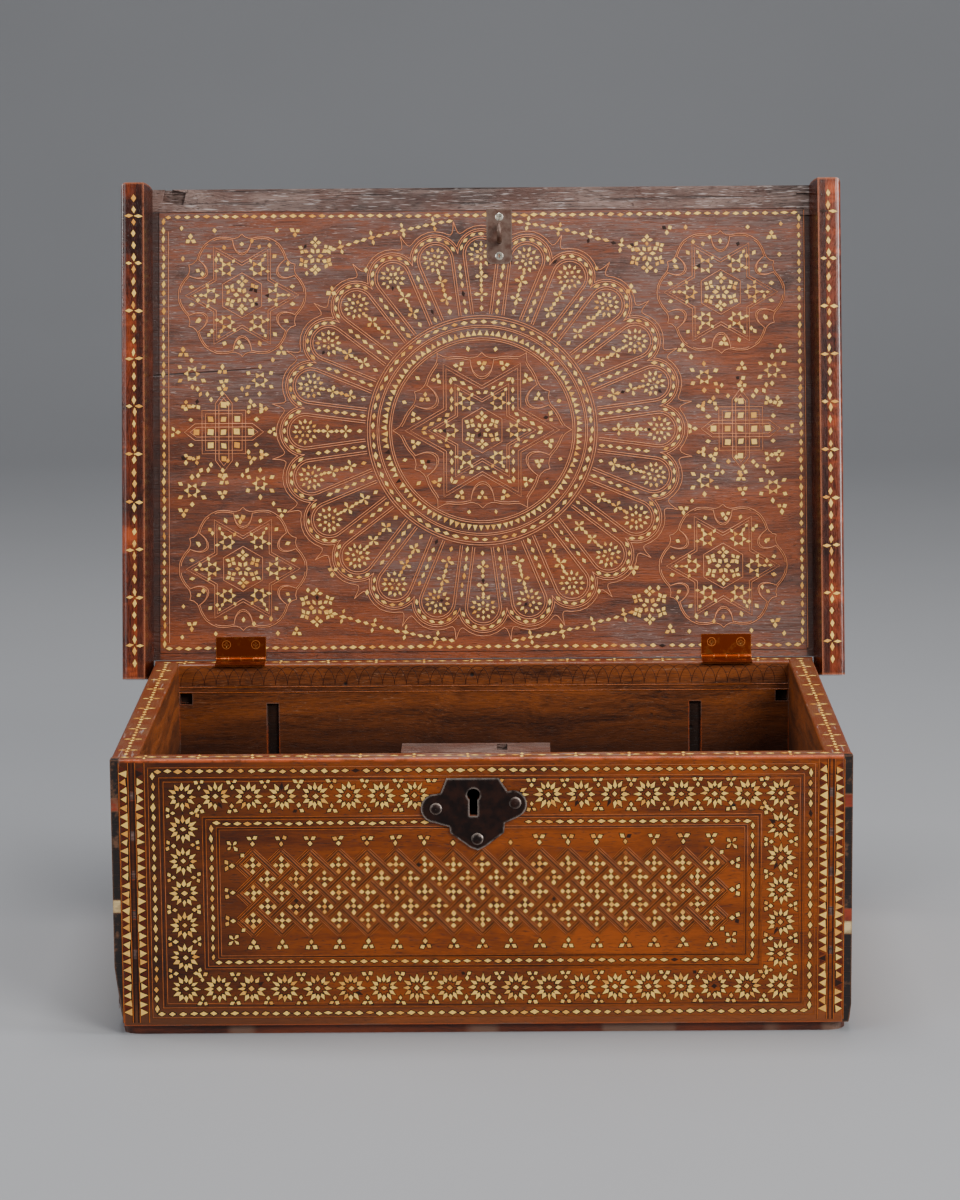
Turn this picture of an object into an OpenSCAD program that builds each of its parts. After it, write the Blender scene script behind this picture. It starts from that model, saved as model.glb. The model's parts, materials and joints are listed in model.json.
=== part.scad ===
/* [Carcass] */
// Width of the carcass across the front
box_w = 460; // [420:5:500]
// Depth of the carcass from front to back
box_d = 336; // [300:4:380]
// Height of the carcass without the lid
box_h = 176; // [165:1:220]
// Thickness of the four wall boards
wall = 17; // [16:0.5:20]
// Thickness of the bottom board
bottom_t = 6; // [5:0.5:10]
// How far the bottom board stays inside the walls
bottom_inset = 3; // [0:0.5:5]
// Depth of the rebate that takes the end of a side board
rebate_d = 8; // [5:0.5:10]
// Radius of the rounded edges of the rim
rim_r = 1.6; // [0.5:0.1:3]
// Height of the wear at the foot of the left front corner
foot_h = 44; // [10:1:60]
// Width of the two grooves for the ends of a till
dado_w = 8.3; // [6:0.1:10]
// Depth of the till grooves
dado_depth = 3; // [2:0.5:3.5]
// Distance of the till grooves from the middle
dado_x = 147.5; // [120:0.5:170]
// Side of the square till sockets
socket_w = 8.5; // [6:0.5:10]

/* [Corners] */
// Number of square pegs down each corner
peg_count = 5; // [3:1:6]
// Side of a square peg
peg_w = 5; // [3:0.5:6]
// Distance between neighbouring pegs
peg_pitch = 25.2; // [20:0.1:27]
// Side of the blocks let into the front arrises
block_w = 5.6; // [4:0.1:7]
// Number of blocks up each front arris
block_count = 21; // [18:1:24]

/* [Lid] */
// Thickness of the lid panel
lid_t = 16; // [14:0.5:18]
// Angle between the closed and the open lid
lid_open = 102; // [96:1:104]
// Gap between the rim and the closed lid
lid_gap = 0.8; // [0.6:0.1:1]
// Width of the edging strip along the front of the lid
strip_w = 15.5; // [14:0.5:17]
// Thickness of the battens at the ends of the lid
batten_t = 20.5; // [15:0.5:22]
// Clearance between a batten and the side of the carcass
batten_gap = 1.2; // [0.8:0.1:2]
// How far the battens hang below the inner face of the lid
batten_drop = 20; // [15:1:25]
// How far the battens run past the hinge line
batten_tail = 13; // [8:1:18]
// Length of the tongues of the lid joints
tongue_l = 6; // [4:0.5:8]
// Number of pegs that hold each batten
batten_peg_count = 4; // [3:1:6]

/* [Hinges] */
// Width of a hinge along its pin
hinge_w = 35; // [30:1:45]
// Distance of each hinge from the middle of the box
hinge_x = 170; // [150:1:180]
// Depth of a leaf from the pin's axis
leaf_d = 16.5; // [14:0.5:17]
// Thickness of a leaf
leaf_t = 1.2; // [1:0.1:1.3]
// Radius of the knuckle
knuckle_r = 2.3; // [2.2:0.1:2.6]
// Radius of the hinge pin
pin_r = 1; // [0.9:0.05:1.1]
// Distance between the two screws of a leaf
leaf_screw_pitch = 20.5; // [18:0.5:24]

/* [Lock] */
// Thickness of the escutcheon
escutcheon_t = 1.6; // [1.2:0.1:2]
// Radius of the keyhole's round end
keyhole_r = 4; // [3.5:0.1:4.5]
// Width of the keyhole's slot
keyhole_slot_w = 5; // [4.5:0.1:5.5]
// Length of the keyhole's slot below the centre of the round end
keyhole_slot_l = 13.4; // [11:0.2:14]
// Depth of the lock block behind the front board
lock_block_d = 28; // [28:0.5:30]
// Travel of the lock bolt
bolt_travel = 10; // [9:0.5:10]
// Distance of the staple from the middle of the box
staple_x = 12.9; // [12.5:0.1:13.5]
// Distance of the staple's middle from the hinge axis
staple_s = 299; // [298:0.5:300]
// Drop of the staple below its plate
staple_drop = 17; // [16.5:0.5:17.5]
// Thickness of the staple's bar
staple_bar = 3.6; // [3.2:0.1:4]

/* [Hidden] */

$fn = 48;
over = 1;                                    // how far a cut runs past a face

walnut = [0.36, 0.17, 0.08];
dark_walnut = [0.25, 0.12, 0.07];
raw_wood = [0.42, 0.36, 0.32];
pale_wood = [0.45, 0.38, 0.28];
ebony = [0.07, 0.05, 0.04];
red_wood = [0.45, 0.10, 0.05];
bone = [0.85, 0.76, 0.55];
brass = [0.72, 0.42, 0.18];
iron = [0.20, 0.15, 0.12];
nickel = [0.80, 0.78, 0.72];

front_y = -box_d / 2;
back_y = box_d / 2;
inner_front_y = front_y + wall;
inner_back_y = back_y - wall;
wall_h = box_h - bottom_t;

// The hinge axis lies a little inside the back face, half-way up the closed gap.
hinge_inset = 4;
axis_y = back_y - hinge_inset;
axis_z = box_h + lid_gap / 2;
lid_z = box_h + lid_gap;                     // inner face of the closed lid
panel_setback = 0.6;
rear_edge_y = axis_y - panel_setback;        // rear edge of the closed panel
panel_front_y = front_y + strip_w;
panel_w = box_w + 2 * batten_gap;

// Slope of the wear at the feet of the front corners.
foot_tilt = 8.3;
foot_turn = 9.2;
right_foot_share = 0.4;                      // wear at the right foot against the left

// Till fittings on the inner faces.
till_top = box_h - 28;
socket_z = box_h - 24;
socket_inset = 0.8;                          // from the inner face of the side board
socket_depth = 6;

// Wooden pegs at the corners.
peg_inset = 13.2;
peg_x = box_w / 2 - peg_inset;
peg_drop = 23;                               // from the rim to the first peg
peg_top = box_h - peg_drop;
peg_l = 34;

// Blocks in the front arrises, counted from the top.
block_h = wall_h / block_count;
block_gap = 0.1;
red_left = [3];
red_right = [3, 12];
bone_left = [11];
bone_right = [13];

// Lock: everything hangs from the keyhole.
keyhole_x = -5;
keyhole_z = box_h - 23.1;
block_left = -50;
block_right = 43;
lock_block_h = 72;
cavity_left = -38;
cavity_back_y = inner_front_y + 24;
cavity_top = box_h - 3.6;
cavity_bottom = box_h - 62;
lock_plate_t = 1.6;
lock_plate_margin = 2;
plate_y = inner_front_y + lock_plate_t;
slot_floor = cavity_bottom + 20;             // where the staple's slot starts
bolt_y = axis_y - staple_s;
bolt_t = 4.6;
bolt_h = 6;
bolt_z = box_h - 11.7;
bolt_tip = 9.2;
cavity_right = bolt_tip + bolt_travel + 10.8;  // room past the thrown bolt
bolt_tail = -36;
talon_drop = 6.8;
talon_w = 2.5;
talon_left = -16;
talon_right = -6.5;
guide_gap = 0.25;
guide_wall = 1.75;
guides = [[-22, 4], [6.3, 2.7]];             // left side and width of each guide
slide_y = bolt_y - bolt_t / 2;

// Staple and its plate on the inner face of the lid.
staple_plate_t = 1.5;
plate_proud = 0.3;
staple_plate_w = 18;
staple_plate_l = 39;
staple_plate_s = 297.4;
staple_screw_s = [283.5, 311.2];
leg_offset = 5.3;
leg_l = 11;                                  // length of a leg inside the lid
plate_face_z = lid_z - plate_proud;          // face of the plate with the lid closed

// Leaves are let in, and stand this much proud of the wood.
leaf_proud = 0.3;
box_leaf_z = box_h + leaf_proud - leaf_t;
lid_leaf_z = lid_z - leaf_proud;
knuckles = 4;
knuckle_l = hinge_w / knuckles;
knuckle_gap = 0.2;
relief_r = knuckle_r + 0.4;
pin_running = 0.05;
box_screw_s = 8.5;
lid_screw_s = 11;

// Turns what is drawn as closed to where it stands with the lid open.
module opened() {
    translate([0, axis_y, axis_z])
        rotate([-lid_open, 0, 0])
            translate([0, -axis_y, -axis_z])
                children();
}

// A block given by two opposite corners.
module span(low, high) {
    translate(low) cube(high - low);
}

// Crossed slots in the head of a screw.
cross_w = 0.7;
cross_depth = 0.9;
cross_reach = 0.55;                          // half-length against the head's radius

// A countersunk screw with its face at the origin, pointing down.
module screw(head_r, shank_r, length, dome = 0) {
    head_l = head_r - shank_r;
    difference() {
        union() {
            translate([0, 0, -head_l]) cylinder(h = head_l, r1 = shank_r, r2 = head_r);
            translate([0, 0, -length]) cylinder(h = length - head_l / 2, r = shank_r);
            if (dome > 0) cylinder(h = dome, r1 = head_r, r2 = head_r * 0.8);
        }
        for (turn = [0, 90])
            rotate([0, 0, turn])
                translate([-head_r * cross_reach, -cross_w / 2, -cross_depth])
                    cube([2 * head_r * cross_reach, cross_w, cross_depth + dome + over]);
    }
}

// The hole that such a screw fills.
module screw_hole(head_r, shank_r, length) {
    head_l = head_r - shank_r;
    translate([0, 0, -head_l]) cylinder(h = head_l, r1 = shank_r, r2 = head_r);
    translate([0, 0, -length]) cylinder(h = length - head_l / 2, r = shank_r);
    cylinder(h = over, r = head_r);
}

leaf_head_r = 3;
leaf_shank_r = 1.3;
leaf_screw_l = 12;
staple_head_r = 2.8;
staple_shank_r = 1.4;
staple_screw_l = 13;

// Puts children at the two screws of a hinge's box leaf.
module at_box_leaf_screws(x) {
    for (dx = [-0.5, 0.5] * leaf_screw_pitch)
        translate([x + dx, axis_y - box_screw_s, box_leaf_z + leaf_t])
            children();
}

// Puts children at the two screws of a hinge's lid leaf, with the lid closed.
module at_lid_leaf_screws(x) {
    for (dx = [-0.5, 0.5] * leaf_screw_pitch)
        translate([x + dx, axis_y - lid_screw_s, lid_leaf_z])
            rotate([180, 0, 0])
                children();
}

module at_staple_screws() {
    for (s = staple_screw_s)
        translate([staple_x, axis_y - s, plate_face_z])
            rotate([180, 0, 0])
                children();
}

// ---- Carcass ----

module keyhole_outline() {
    circle(r = keyhole_r);
    translate([-keyhole_slot_w / 2, -keyhole_slot_l])
        square([keyhole_slot_w, keyhole_slot_l]);
}

module keyhole_cut(from_y, to_y) {
    translate([keyhole_x, to_y, keyhole_z])
        rotate([90, 0, 0])
            linear_extrude(to_y - from_y) keyhole_outline();
}

// The two grooves for a till's ends, open at the bottom.
module till_grooves(y, depth) {
    for (side = [-1, 1])
        span([side * dado_x - dado_w / 2, y, bottom_t - over],
             [side * dado_x + dado_w / 2, y + depth, till_top]);
}

module corner_pegs(y) {
    for (side = [-1, 1], i = [0 : peg_count - 1])
        translate([side * peg_x - peg_w / 2, y, peg_top - i * peg_pitch - peg_w / 2])
            cube([peg_w, peg_l, peg_w]);
}

// Section of a wall board, with the two edges of its rim rounded.
module board_section() {
    translate([-wall / 2, 0]) square([wall, wall_h - rim_r]);
    translate([rim_r - wall / 2, 0]) square([wall - 2 * rim_r, wall_h]);
    for (side = [-1, 1])
        translate([side * (wall / 2 - rim_r), wall_h - rim_r]) circle(r = rim_r);
}

// Cuts away the foot of a front corner, where years of sliding have worn it.
module worn_foot(side, tilt, turn, height) {
    translate([side * box_w / 2, front_y, height])
        mirror([side > 0 ? 1 : 0, 0, 0])
            rotate([0, -tilt, turn])
                translate([-wall, -box_d / 4, -box_h])
                    cube([wall, box_d / 2, 2 * box_h]);
}

module worn_feet() {
    worn_foot(-1, foot_tilt, foot_turn, foot_h);
    worn_foot(1, foot_tilt, foot_turn, foot_h * right_foot_share);
}

// A full-width board whose ends are rebated for the side boards.
module end_board(y, rebate_y) {
    difference() {
        translate([-box_w / 2, y + wall / 2, bottom_t])
            rotate([90, 0, 90]) linear_extrude(box_w) board_section();
        for (side = [-1, 1])
            translate([side * (box_w / 2 - wall / 2) - wall / 2 - (side < 0 ? over : 0),
                       rebate_y, bottom_t - over])
                cube([wall + over, rebate_d + over, wall_h + 2 * over]);
    }
}

module front_board() {
    color(walnut)
    difference() {
        end_board(front_y, inner_front_y - rebate_d);
        keyhole_cut(front_y - over, inner_front_y + over);
        till_grooves(inner_front_y - dado_depth, dado_depth + over);
        corner_pegs(front_y);
        for (side = [-1, 1])
            translate([side * (box_w / 2 - block_w / 2), front_y + block_w / 2, box_h / 2])
                cube([block_w, block_w, box_h + 2 * over], center = true);
        at_studs() stud_shank();
        lock_nails();
        worn_feet();
    }
}

module back_board() {
    color(dark_walnut)
    difference() {
        end_board(inner_back_y, inner_back_y - over);
        till_grooves(inner_back_y - over, dado_depth + over);
        corner_pegs(back_y - peg_l);
        for (side = [-1, 1])
            translate([side * (box_w / 2 - wall - socket_w / 2 - socket_inset),
                       inner_back_y + (socket_depth - over) / 2, socket_z])
                cube([socket_w, socket_depth + over, socket_w], center = true);
        for (side = [-1, 1]) {
            span([side * hinge_x - hinge_w / 2, inner_back_y - over, box_leaf_z],
                 [side * hinge_x + hinge_w / 2, axis_y, box_h + over]);
            translate([side * hinge_x - hinge_w / 2, axis_y, axis_z])
                rotate([0, 90, 0]) cylinder(h = hinge_w, r = relief_r);
            at_box_leaf_screws(side * hinge_x)
                screw_hole(leaf_head_r, leaf_shank_r, leaf_screw_l);
        }
    }
}

module side_board(side) {
    difference() {
        translate([0, inner_back_y + rebate_d, bottom_t])
            rotate([90, 0, 0])
                linear_extrude(box_d - 2 * (wall - rebate_d)) board_section();
        translate([-side * (box_w / 2 - wall / 2), 0, 0]) {
            corner_pegs(front_y);
            corner_pegs(back_y - peg_l);
            worn_feet();
        }
    }
}

module side_board_left() {
    color(walnut)
        translate([-box_w / 2 + wall / 2, 0, 0]) side_board(-1);
}

module side_board_right() {
    color(walnut)
        translate([box_w / 2 - wall / 2, 0, 0]) side_board(1);
}

// A board with rounded corners, worn where it stands on the ground.
bottom_corner_r = 12;

module bottom_board() {
    bw = box_w - 2 * bottom_inset;
    bd = box_d - 2 * bottom_inset;
    color(dark_walnut)
    difference() {
        linear_extrude(bottom_t)
            union() {
                square([bw - 2 * bottom_corner_r, bd], center = true);
                square([bw, bd - 2 * bottom_corner_r], center = true);
                for (sx = [-1, 1], sy = [-1, 1])
                    translate([sx * (bw / 2 - bottom_corner_r), sy * (bd / 2 - bottom_corner_r)])
                        circle(r = bottom_corner_r);
            }
        bottom_nail_set();
        worn_feet();
    }
}

// Nails driven up through the bottom into the wall boards.
nails_front = 7;
nails_side = 5;
nail_r = 1.1;
nail_head_r = 2.6;
nail_head_h = 0.8;
bottom_nail_l = bottom_t;

module at_bottom_nails() {
    for (side = [-1, 1], i = [0 : nails_front - 1])
        translate([(i / (nails_front - 1) - 0.5) * (box_w - 3 * wall),
                   side * (box_d / 2 - wall / 2), 0])
            children();
    for (side = [-1, 1], i = [1 : nails_side])
        translate([side * (box_w / 2 - wall / 2),
                   (i / (nails_side + 1) - 0.5) * (box_d - 2 * wall), 0])
            children();
}

module bottom_nail_set() {
    at_bottom_nails() {
        cylinder(h = nail_head_h, r = nail_head_r);
        cylinder(h = bottom_nail_l, r = nail_r);
    }
}

module bottom_nails() {
    color(iron) bottom_nail_set();
}

module corner_pegs_front() {
    color(raw_wood) corner_pegs(front_y);
}

module corner_pegs_back() {
    color(raw_wood) corner_pegs(back_y - peg_l);
}

// One arris block, counted from the rim down.
module edge_block(side, i) {
    x = side < 0 ? -box_w / 2 : box_w / 2 - block_w;
    translate([x, front_y, box_h - (i + 1) * block_h])
        cube([block_w, block_w, block_h - block_gap]);
}

function is_in(i, list) = len(search(i, list)) > 0;

module edge_blocks_red() {
    color(red_wood) {
        for (i = red_left) edge_block(-1, i);
        for (i = red_right) edge_block(1, i);
    }
}

module edge_blocks_bone() {
    color(bone) {
        for (i = bone_left) edge_block(-1, i);
        for (i = bone_right) edge_block(1, i);
    }
}

module edge_blocks_black() {
    color(ebony)
        difference() {
            for (i = [0 : block_count - 1]) {
                if (!is_in(i, concat(red_left, bone_left))) edge_block(-1, i);
                if (!is_in(i, concat(red_right, bone_right))) edge_block(1, i);
            }
            worn_feet();
        }
}

// ---- Lock ----

// Stud centres, measured from the middle of the front and down from the rim.
studs = [[-28.4, 31.8], [20.8, 28.3], [-2.8, 51]];
stud_r = 3.75;
stud_shank_r = 1.1;

module at_studs() {
    for (p = studs) translate([p[0], front_y, box_h - p[1]]) children();
}

module stud_shank() {
    shank_l = wall + lock_plate_t;
    translate([0, shank_l, 0])
        rotate([90, 0, 0]) cylinder(h = shank_l + escutcheon_t, r = stud_shank_r);
}

// Three lobes around a shield that comes to a point at the bottom.
module escutcheon_outline() {
    translate([0, box_h])
        mirror([0, 1]) {
            polygon([[-21.7, 12.6], [10.6, 12.6], [15.7, 20.3], [22, 37.6], [14.4, 41],
                     [13.8, 47.2], [2.3, 55.9], [-2.4, 58.3], [-7, 56.6], [-19.4, 47.4],
                     [-20, 43.4], [-31, 40], [-31, 23.2], [-25.4, 22]]);
            translate([-28.6, 31.6]) circle(r = 9);
            translate([19.4, 29.2]) circle(r = 8.6);
        }
}

module escutcheon() {
    color(iron)
    difference() {
        translate([0, front_y, 0])
            rotate([90, 0, 0])
                linear_extrude(escutcheon_t) escutcheon_outline();
        keyhole_cut(front_y - escutcheon_t - over, front_y + over);
        at_studs() stud_shank();
    }
}

// Domed studs whose shanks also hold the lock plate.
module escutcheon_studs() {
    dome_r = 5;
    dome_h = 2;
    color(iron)
        at_studs() {
            stud_shank();
            translate([0, -escutcheon_t, 0])
                rotate([90, 0, 0])
                    intersection() {
                        cylinder(h = dome_h, r = stud_r);
                        translate([0, 0, dome_h - dome_r]) sphere(r = dome_r);
                    }
        }
}

staple_slot_w = staple_bar + 3;
staple_slot_l = 2 * leg_offset + staple_bar + 4;

// Four nails through the corners of the lock block into the front board.
lock_nail_r = 1.2;
lock_nail_reach = 8;
lock_nail_x = [block_left + 6, block_right - 6];
lock_nail_z = [box_h - 8, box_h - lock_block_h + 8];

module lock_nails() {
    for (x = lock_nail_x, z = lock_nail_z)
        translate([x, inner_front_y + lock_block_d, z])
            rotate([90, 0, 0]) cylinder(h = lock_block_d + lock_nail_reach, r = lock_nail_r);
}

module lock_block() {
    color(raw_wood)
    difference() {
        span([block_left, inner_front_y, box_h - lock_block_h],
             [block_right, inner_front_y + lock_block_d, box_h]);
        span([cavity_left, inner_front_y - over, cavity_bottom],
             [cavity_right, cavity_back_y, cavity_top]);
        translate([staple_x - staple_slot_w / 2, bolt_y - staple_slot_l / 2, slot_floor])
            cube([staple_slot_w, staple_slot_l, lock_block_h]);
        lock_nails();
    }
}

module lock_block_nails() {
    color(iron) lock_nails();
}

module lock_plate() {
    color(iron)
    difference() {
        span([cavity_left + lock_plate_margin, inner_front_y, cavity_bottom + lock_plate_margin],
             [cavity_right - lock_plate_margin, plate_y, cavity_top - lock_plate_margin / 2]);
        keyhole_cut(inner_front_y - over, plate_y + over);
        at_studs() stud_shank();
    }
}

module bolt_guides() {
    color(iron)
        for (g = guides)
            difference() {
                span([g[0], plate_y, bolt_z - guide_gap - guide_wall],
                     [g[0] + g[1], slide_y + bolt_t + guide_gap + guide_wall,
                      bolt_z + bolt_h + guide_gap + guide_wall]);
                span([g[0] - over, slide_y - guide_gap, bolt_z - guide_gap],
                     [g[0] + g[1] + over, slide_y + bolt_t + guide_gap,
                      bolt_z + bolt_h + guide_gap]);
            }
}

// A leaf spring that bears on the bolt's tail.
spring_r = 10;
spring_t = 0.9;
spring_x = -27;
spring_gap = 0.3;
spring_leg_l = 10;
spring_foot_w = 3;
spring_foot_h = 6;

module lock_spring() {
    spring_top = bolt_z - spring_gap;
    foot_x = spring_x - spring_r;
    foot_z = spring_top - spring_r - spring_leg_l;
    color(iron) {
        translate([spring_x, slide_y + bolt_t, spring_top - spring_r])
            rotate([90, 0, 0])
                linear_extrude(bolt_t)
                    intersection() {
                        difference() {
                            circle(r = spring_r);
                            circle(r = spring_r - spring_t);
                        }
                        translate([-spring_r - over, 0]) square([spring_r + over, spring_r + over]);
                    }
        span([foot_x, slide_y, foot_z],
             [foot_x + spring_t, slide_y + bolt_t, foot_z + spring_leg_l]);
        span([foot_x + spring_t, plate_y, foot_z],
             [foot_x + spring_t + spring_foot_w, slide_y + bolt_t, foot_z + spring_foot_h]);
    }
}

// The bolt is drawn back, clear of the staple, with two talons for the key.
module lock_bolt() {
    color(iron) {
        span([bolt_tail, slide_y, bolt_z], [bolt_tip, slide_y + bolt_t, bolt_z + bolt_h]);
        for (x = [talon_left, talon_right])
            span([x, slide_y, bolt_z - talon_drop], [x + talon_w, slide_y + bolt_t, bolt_z]);
    }
}

// ---- Hinges ----

// Knuckles are numbered from the left: even ones belong to the box.
module knuckle_set(x, first, r) {
    for (k = [first : 2 : knuckles - 1])
        translate([x - hinge_w / 2 + k * knuckle_l + knuckle_gap / 2, axis_y, axis_z])
            rotate([0, 90, 0]) cylinder(h = knuckle_l - knuckle_gap, r = r);
}

// Room for the knuckles of the other leaf.
module knuckle_room(x, first) {
    for (k = [first : 2 : knuckles - 1])
        translate([x - hinge_w / 2 + k * knuckle_l - knuckle_gap / 2, axis_y, axis_z])
            rotate([0, 90, 0]) cylinder(h = knuckle_l + knuckle_gap, r = relief_r);
}

module hinge_bore(x, r) {
    translate([x - hinge_w / 2 - over, axis_y, axis_z])
        rotate([0, 90, 0]) cylinder(h = hinge_w + 2 * over, r = r);
}

module hinge_leaf(x, first, z, bore_r) {
    difference() {
        union() {
            span([x - hinge_w / 2, axis_y - leaf_d, z], [x + hinge_w / 2, axis_y, z + leaf_t]);
            knuckle_set(x, first, knuckle_r);
        }
        knuckle_room(x, 1 - first);
        hinge_bore(x, bore_r);
    }
}

module hinge_leaf_box(x) {
    color(brass)
    difference() {
        hinge_leaf(x, 0, box_leaf_z, pin_r);
        at_box_leaf_screws(x) screw_hole(leaf_head_r, leaf_shank_r, leaf_screw_l);
    }
}

module hinge_leaf_lid(x) {
    color(brass)
    opened()
    difference() {
        hinge_leaf(x, 1, lid_leaf_z, pin_r + pin_running);
        at_lid_leaf_screws(x) screw_hole(leaf_head_r, leaf_shank_r, leaf_screw_l);
    }
}

module hinge_pin(x) {
    color(brass)
        translate([x - hinge_w / 2, axis_y, axis_z])
            rotate([0, 90, 0]) cylinder(h = hinge_w, r = pin_r);
}

module hinge_leaf_box_left() {
    hinge_leaf_box(-hinge_x);
}

module hinge_leaf_box_right() {
    hinge_leaf_box(hinge_x);
}

module hinge_leaf_lid_left() {
    hinge_leaf_lid(-hinge_x);
}

module hinge_leaf_lid_right() {
    hinge_leaf_lid(hinge_x);
}

module hinge_pin_left() {
    hinge_pin(-hinge_x);
}

module hinge_pin_right() {
    hinge_pin(hinge_x);
}

module hinge_screws_box() {
    color(nickel)
        for (side = [-1, 1])
            at_box_leaf_screws(side * hinge_x)
                screw(leaf_head_r, leaf_shank_r, leaf_screw_l);
}

module hinge_screws_lid() {
    color(nickel)
        opened()
            for (side = [-1, 1])
                at_lid_leaf_screws(side * hinge_x)
                    screw(leaf_head_r, leaf_shank_r, leaf_screw_l);
}

// ---- Lid, drawn closed and then opened ----

tongue_t = 6;
tongue_z = lid_z + (lid_t - tongue_t) / 2;
strip_tongue = 5;

// Cuts shared by the panel and the front strip: a let-in patch at the right corner.
patch_w = 9;
patch_front_y = axis_y - 325.5;
patch_back_y = axis_y - 311;
patch_h = 9;
patch_gap = 0.8;
patch_sunk = 0.2;

module patch_room() {
    span([panel_w / 2 - patch_w, patch_front_y - patch_gap, lid_z - over],
         [panel_w / 2 + over, patch_back_y + patch_gap, lid_z + patch_h]);
}

module lid_corner_patch() {
    color(raw_wood)
        opened()
            span([panel_w / 2 - patch_w, patch_front_y, lid_z + patch_sunk],
                 [panel_w / 2, patch_back_y, lid_z + patch_h]);
}

module staple_legs(r) {
    for (side = [-1, 1])
        translate([staple_x, bolt_y + side * leg_offset, plate_face_z])
            cylinder(h = leg_l, r = r);
}

module lid_panel() {
    color(dark_walnut)
    opened()
    difference() {
        union() {
            span([-panel_w / 2, panel_front_y, lid_z],
                 [panel_w / 2, rear_edge_y, lid_z + lid_t]);
            span([-panel_w / 2 - tongue_l, panel_front_y, tongue_z],
                 [panel_w / 2 + tongue_l, rear_edge_y, tongue_z + tongue_t]);
            span([-panel_w / 2, panel_front_y - strip_tongue, tongue_z],
                 [panel_w / 2, panel_front_y, tongue_z + tongue_t]);
        }
        patch_room();
        for (side = [-1, 1]) {
            span([side * hinge_x - hinge_w / 2, axis_y - leaf_d, lid_z - over],
                 [side * hinge_x + hinge_w / 2, axis_y, lid_leaf_z + leaf_t]);
            translate([side * hinge_x - hinge_w / 2, axis_y, axis_z])
                rotate([0, 90, 0]) cylinder(h = hinge_w, r = relief_r);
            at_lid_leaf_screws(side * hinge_x)
                screw_hole(leaf_head_r, leaf_shank_r, leaf_screw_l);
        }
        span([staple_x - staple_plate_w / 2, axis_y - staple_plate_s - staple_plate_l / 2,
              lid_z - over],
             [staple_x + staple_plate_w / 2, axis_y - staple_plate_s + staple_plate_l / 2,
              plate_face_z + staple_plate_t]);
        staple_legs(staple_bar / 2);
        at_staple_screws() screw_hole(staple_head_r, staple_shank_r, staple_screw_l);
        batten_peg_set();
    }
}

// The edging strip is chipped at its left end.
chip_x = 9;
chip_w = 15;
chip_d = 9.3;
chip_h = 5;
chip_turn = 12;

module lid_front_strip() {
    color(raw_wood)
    opened()
    difference() {
        span([-panel_w / 2, front_y, lid_z], [panel_w / 2, panel_front_y, lid_z + lid_t]);
        span([-panel_w / 2 - over, panel_front_y - strip_tongue, tongue_z],
             [panel_w / 2 + over, panel_front_y + over, tongue_z + tongue_t]);
        patch_room();
        translate([chip_x - panel_w / 2, front_y - over, lid_z - over])
            rotate([0, 0, chip_turn])
                cube([chip_w, chip_d, chip_h]);
        span([staple_x - staple_plate_w / 2, axis_y - staple_plate_s - staple_plate_l / 2,
              lid_z - over],
             [staple_x + staple_plate_w / 2, panel_front_y + over,
              plate_face_z + staple_plate_t]);
    }
}

// Battens have rounded outer edges, a rounded front end that stands past the panel,
// and an inner side that slopes away below the panel.
batten_round = 4;
batten_end_r = 3.5;
batten_nose = 2.5;
batten_slope = 4.5;
batten_front_y = front_y - batten_nose;
batten_l = box_d - hinge_inset + batten_tail + batten_nose;
batten_h = lid_t + batten_drop;

// Cross-section of the right batten, standing on its lower edge.
module batten_section() {
    r = batten_round;
    x0 = panel_w / 2;
    polygon([[x0 + batten_slope, 0], [x0 + batten_t - r, 0], [x0 + batten_t - r, batten_h],
             [x0, batten_h], [x0, batten_drop]]);
    translate([x0 + batten_t / 2, r]) square([batten_t / 2, batten_h - 2 * r]);
    for (z = [r, batten_h - r]) translate([x0 + batten_t - r, z]) circle(r = r);
}

// The right batten seen from above.
module batten_plan() {
    r = batten_end_r;
    translate([panel_w / 2, batten_front_y + r]) square([batten_t, batten_l - r]);
    translate([panel_w / 2 + r, batten_front_y]) square([batten_t - 2 * r, batten_l]);
    for (x = [r, batten_t - r]) translate([panel_w / 2 + x, batten_front_y + r]) circle(r = r);
}

module batten(side) {
    opened()
    mirror([side < 0 ? 1 : 0, 0, 0])
    difference() {
        intersection() {
            translate([0, batten_front_y + batten_l, lid_z - batten_drop])
                rotate([90, 0, 0]) linear_extrude(batten_l) batten_section();
            translate([0, 0, lid_z - batten_drop]) linear_extrude(batten_h) batten_plan();
        }
        span([panel_w / 2 - over, panel_front_y, tongue_z],
             [panel_w / 2 + tongue_l, rear_edge_y, tongue_z + tongue_t]);
        batten_peg_set();
    }
}

module batten_left() {
    color(red_wood) batten(-1);
}

module batten_right() {
    color(red_wood) batten(1);
}

// Round pegs driven in through the battens' outer sides.
batten_peg_r = 2;
batten_peg_l = 32;

module batten_peg_set() {
    run = rear_edge_y - panel_front_y;
    for (side = [-1, 1], i = [0 : batten_peg_count - 1])
        translate([side * (panel_w / 2 + batten_t - batten_peg_l / 2),
                   panel_front_y + run * (i + 0.5) / batten_peg_count,
                   tongue_z + tongue_t / 2])
            rotate([0, 90, 0])
                cylinder(h = batten_peg_l, r = batten_peg_r, center = true);
}

module batten_pegs() {
    color(pale_wood) opened() batten_peg_set();
}

// A plate with rounded corners at its lower end.
module staple_plate() {
    r = 4;
    w = staple_plate_w;
    l = staple_plate_l;
    color(iron)
    opened()
    difference() {
        translate([staple_x, axis_y - staple_plate_s, plate_face_z])
            linear_extrude(staple_plate_t) {
                translate([-w / 2, -l / 2]) square([w, l - r]);
                translate([-w / 2 + r, -l / 2]) square([w - 2 * r, l]);
                for (sx = [-1, 1]) translate([sx * (w / 2 - r), l / 2 - r]) circle(r = r);
            }
        staple_legs(staple_bar / 2);
        at_staple_screws() screw_hole(staple_head_r, staple_shank_r, staple_screw_l);
    }
}

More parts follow.
